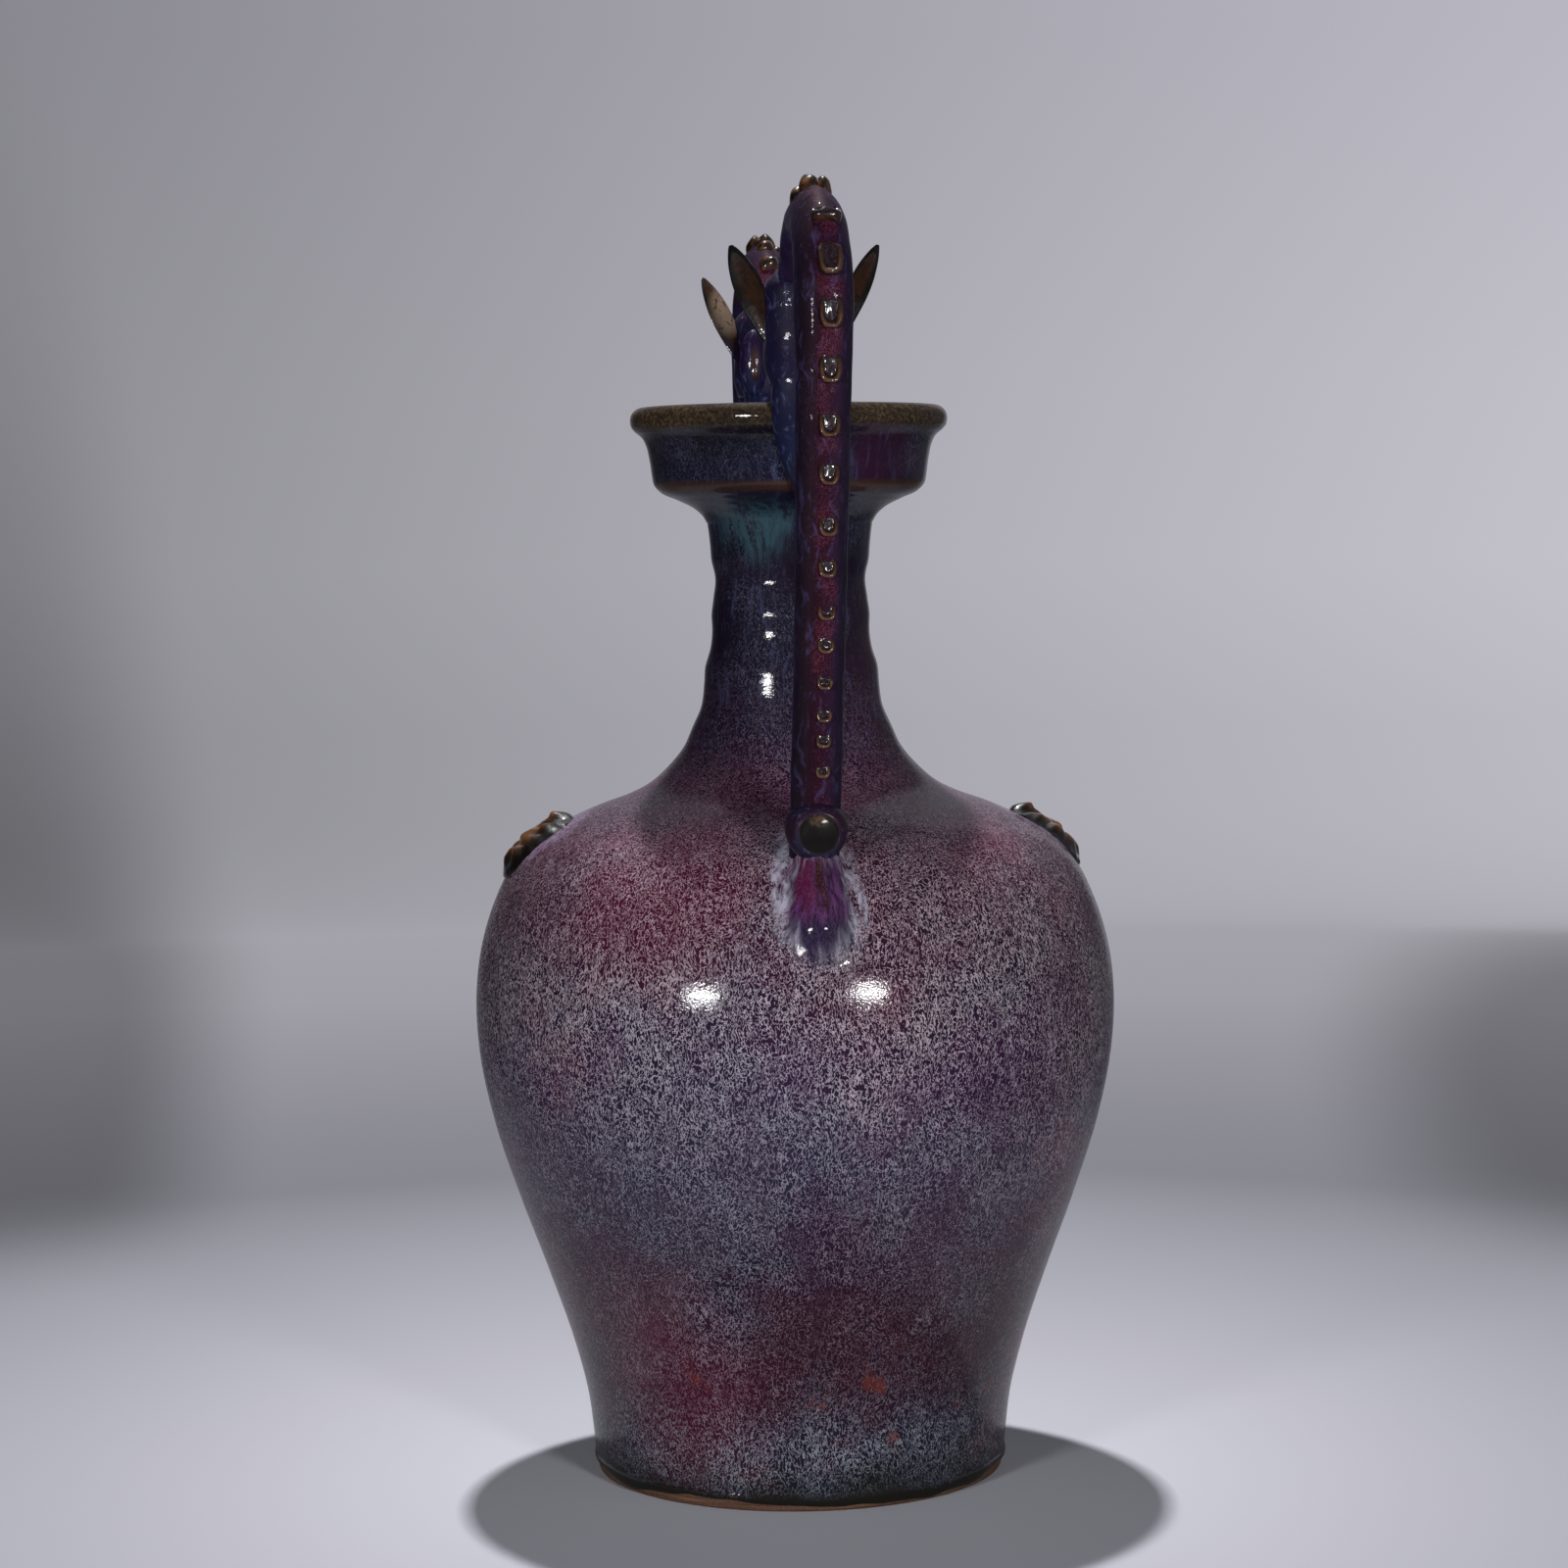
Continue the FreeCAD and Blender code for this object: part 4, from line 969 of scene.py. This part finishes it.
def face_beads(handle, x, half_width, half_height, drop):
    """Long bead on each side of the face: a lid or an eyeball."""
    bm = bmesh.new()
    height = LIP_TOP + handle.head_height * 0.48 - drop
    for side in (-1, 1):
        made = bmesh.ops.create_icosphere(bm, subdivisions=4, radius=1.0)["verts"]
        for vert in made:
            point = vert.co.copy()
            vert.co = Vector((point.x * half_width * 0.9, point.y * half_width, point.z * half_height))
            vert.co += Vector((x, side * EYE_SIDE, height))
    mark(bm, "raised", lambda place: 0.45)
    mark(bm, "amber", lambda place: math.exp(-((abs(place.y) - EYE_SIDE) / 2) ** 2 - ((place.z - height) / 6) ** 2))
    return bm


# Each dragon: its turn about the vessel, the arch's end above the lip, and how far its tail sits aside
for name, turn, handle in (("right", 0.0, Handle(37.9, -2.5)), ("left", 180.0, Handle(32.4, 0.0))):
    dragon = name + "_dragon_"
    fired(strap(handle), dragon + "strap", "dragon_glaze", STRAP, dragon + "body", turn=turn)
    fired(scutes(handle), dragon + "back_plates", "brown_glaze", SCUTE, dragon + "scutes", turn=turn, sharp=80)
    fired(crest(handle), dragon + "crest_beads", "brown_glaze", AMBER, dragon + "crest", turn=turn)
    fired(tail_knob(handle), dragon + "rolled_tail", "dragon_glaze", DRAGON, dragon + "tail_knob", turn=turn)
    fired(head(handle), dragon + "skull", "dragon_glaze", DRAGON, dragon + "head", turn=turn, sharp=80)
    fired(snout(), dragon + "snout", "dragon_glaze", DRAGON, dragon + "upper_jaw", turn=turn, sharp=80)
    fired(chin(), dragon + "chin", "dragon_glaze", DRAGON, dragon + "lower_jaw", turn=turn, sharp=80)
    for side, word in ((-1, "front"), (1, "back")):
        piece = fired(ear(handle, side), dragon + word + "_leaf_ear", "brown_glaze", EAR, dragon + word + "_ear",
                      turn=turn, sharp=120)
        rounding = piece.modifiers.new("rounding", "SUBSURF")
        rounding.levels = rounding.render_levels = 1
    fired(face_beads(handle, HEAD_LINE - 13.2, 4.6, 10.8, 0.0), dragon + "lids", "dragon_glaze", DRAGON,
          dragon + "brows", turn=turn)
    fired(face_beads(handle, HEAD_LINE - 15.6, 1.9, 4.4, 2.5), dragon + "eyeballs", "brown_glaze", AMBER,
          dragon + "eyes", turn=turn)

# Room: pale floor that curves up all round
room_line = smooth_line([(0, 0), (1500, 0), (2100, 0), (2420, 130), (2550, 450), (2560, 900), (2560, 2600)], 60)
run_lengths = [0.0]
for near, far in zip(room_line, room_line[1:]):
    run_lengths.append(run_lengths[-1] + (far - near).length)
room = turned(room_line, 96, closed=False)
along = room.verts.layers.float.new("along")
for vert in room.verts:
    here = Vector((vert.co.xy.length, 0, vert.co.z))
    nearest = min(range(len(room_line)), key=lambda index: (room_line[index] - here).length)
    vert[along] = run_lengths[nearest] * MM
bmesh.ops.scale(room, verts=room.verts, vec=(MM, MM, MM))
for face in room.faces:
    face.smooth = True
    face.normal_update()
    if face.normal.dot(face.calc_center_median() - Vector((0, 0, 2))) > 0:
        face.normal_flip()
mesh = bpy.data.meshes.new("room")
room.to_mesh(mesh)
room.free()
backdrop = bpy.data.objects.new("room", mesh)
bpy.context.scene.collection.objects.link(backdrop)


def spot(g, slant, middle, run, away, half_slant, half_run):
    """Distance from the middle of an oval patch on the paper, counted in its half sizes."""
    join = g.add("ShaderNodeCombineXYZ")
    g.feed(join.inputs[0], g.sum("SUBTRACT", slant, middle))
    g.feed(join.inputs[1], g.sum("SUBTRACT", run, away))
    return g.vector("LENGTH", g.vector("MULTIPLY", join.outputs[0], (1 / half_slant, 1 / half_run, 0)))


def room_paint():
    """Pale paper that glows away from the vase, and near it is a floor that takes the lamps' shadow.

    run is the length along the paper from the vase, slant how far to the right of the picture a place
    lies for its distance from the camera, and behind how far it lies beyond the vase. The paper's
    shade is partly painted: a painted darker band past the lit floor, the paper painted brighter to the
    right, a painted shadow on each side and a faint painted shade on the floor beside the vase. It is
    painted dark for reflections beyond the picture's edges, and the light it throws back on the vase is
    that of a dark room.
    """
    g = Glaze("room_paint")
    run = g.mark("along")
    aside = g.sum("MULTIPLY_ADD", g.x, TOWARDS_Y, g.times(g.y, TOWARDS_X))
    # Partly painted shade: the ramp along the run holds a darker band past the lit floor, lighter again up the wall
    paper = g.ramp(g.sum("DIVIDE", run, 3.3), (0.0, "cbced7"), (0.052, "b7b6c0"), (0.102, "a2a2ab"), (0.166, "85858d"),
                   (0.25, "92919a"), (0.368, "a09fa7"), (0.54, "a5a4ac"), (0.733, "a6a5ad"), (0.79, "acabb3"),
                   (0.845, "aaa9b1"), (0.95, "a3a2ab"))
    behind = g.sum("MULTIPLY_ADD", g.x, -TOWARDS_X, g.times(g.y, TOWARDS_Y))
    slant = g.sum("DIVIDE", aside, g.sum("ADD", g.sum("MAXIMUM", behind, -0.5), CAMERA_DISTANCE))
    # Painted light: the paper brighter to the right. Painted shadows: a soft patch on each side. Painted shade: a
    # little darker on the floor beside the vase
    painted_light_slope = g.sum("MULTIPLY_ADD", g.times(aside, 0.42), g.fade(run, 1.6, 2.3), 1.0)
    horizon = g.fade(run, 0.38, 0.62)
    left = g.times(g.fade(spot(g, slant, -0.22, run, 1.2, 0.078, 1.9), 1.08, 0.45), horizon)
    right = g.times(g.fade(spot(g, slant, 0.22, run, 0.95, 0.085, 0.95), 1.08, 0.35), horizon)
    painted_shade_beside_vase = g.times(g.fade(g.sum("ABSOLUTE", slant), 0.09, 0.215), g.fade(run, 0.6, 0.35))
    painted_shade = g.times(g.sum("MULTIPLY_ADD", left, -0.50, 1.0), g.sum("MULTIPLY_ADD", right, -0.48, 1.0))
    painted_shade = g.times(painted_shade, g.sum("MULTIPLY_ADD", painted_shade_beside_vase, -0.06, 1.0))
    paper = g.vector("SCALE", paper)
    g.feed(paper.node.inputs["Scale"], g.times(painted_shade, painted_light_slope))
    seen = g.add("ShaderNodeLightPath")
    glossy = seen.outputs["Is Glossy Ray"]
    seen = g.sum("MAXIMUM", seen.outputs["Is Camera Ray"], glossy)
    beyond = g.sum("MAXIMUM", g.fade(g.sum("ABSOLUTE", slant), 0.22, 0.34), g.fade(behind, -0.3, -0.6))
    paper = g.blend(g.times(g.times(beyond, glossy), 0.8), paper, "1c1c20")
    g.feed(g.shader.inputs["Base Color"], g.blend(seen, "3c3c40", paper))
    g.feed(g.shader.inputs["Roughness"], 0.8)
    g.feed(g.shader.inputs["Specular IOR Level"], 0.0)
    glow = g.add("ShaderNodeEmission")
    g.feed(glow.inputs[0], paper)
    distance = g.vector("LENGTH", g.vector("MULTIPLY", g.place, (1, 1, 0)))
    mixer = g.add("ShaderNodeMixShader")
    g.feed(mixer.inputs[0], g.times(seen, g.fade(distance, 0.35, 0.75)))
    g.feed(mixer.inputs[1], g.shader.outputs[0])
    g.feed(mixer.inputs[2], glow.outputs[0])
    g.feed(g.tree.nodes["Material Output"].inputs["Surface"], mixer.outputs[0])
    return g.finish


mesh.materials.append(room_paint())

world = bpy.data.worlds.new("studio")
bpy.context.scene.world = world
world.use_nodes = True
world.node_tree.nodes["Background"].inputs[0].default_value = (0.85, 0.87, 1.0, 1)
world.node_tree.nodes["Background"].inputs[1].default_value = 0.09


LAMP_TARGET = Vector((0, 0, 0.17))


def lamp(name, azimuth, elevation, distance, size, power):
    """Soft lamp that faces the vase: its size is its width and height."""
    light = bpy.data.lights.new(name, "AREA")
    light.shape = "RECTANGLE"
    light.size, light.size_y = size
    light.energy = power
    bulb = bpy.data.objects.new(name, light)
    bpy.context.scene.collection.objects.link(bulb)
    turn, rise = math.radians(azimuth), math.radians(elevation)
    away = Vector((math.sin(turn) * math.cos(rise), -math.cos(turn) * math.cos(rise), math.sin(rise)))
    bulb.location = LAMP_TARGET + away * distance
    bulb.rotation_euler = away.to_track_quat("Z", "Y").to_euler()


# Lamps: azimuth, height in degrees, distance, width and height in metres, power in watts
lamp("left_lamp", 52.0, 7.5, 1.5, (0.26, 0.08), 11.0)
lamp("right_lamp", 109.5, 9.0, 1.5, (0.22, 0.11), 11.0)
lamp("top_lamp", 270.0, 72.0, 2.4, (0.10, 0.10), 61.0)

camera = bpy.data.objects.new("camera", bpy.data.cameras.new("camera"))
bpy.context.scene.collection.objects.link(camera)
bpy.context.scene.camera = camera
camera.data.lens = 85.5
camera.data.sensor_width = 36.0
camera.data.clip_end = 20.0
azimuth, pitch, aside, roll = (math.radians(angle) for angle in (84.0, 3.96, 0.133, -0.66))
camera.location = (CAMERA_DISTANCE * math.sin(azimuth), -CAMERA_DISTANCE * math.cos(azimuth), 0.299)
aim = Matrix.Rotation(azimuth + aside, 3, "Z") @ Matrix.Rotation(math.radians(90) - pitch, 3, "X")
camera.rotation_euler = (aim @ Matrix.Rotation(roll, 3, "Z")).to_euler()

bpy.context.scene.view_settings.view_transform = "Standard"
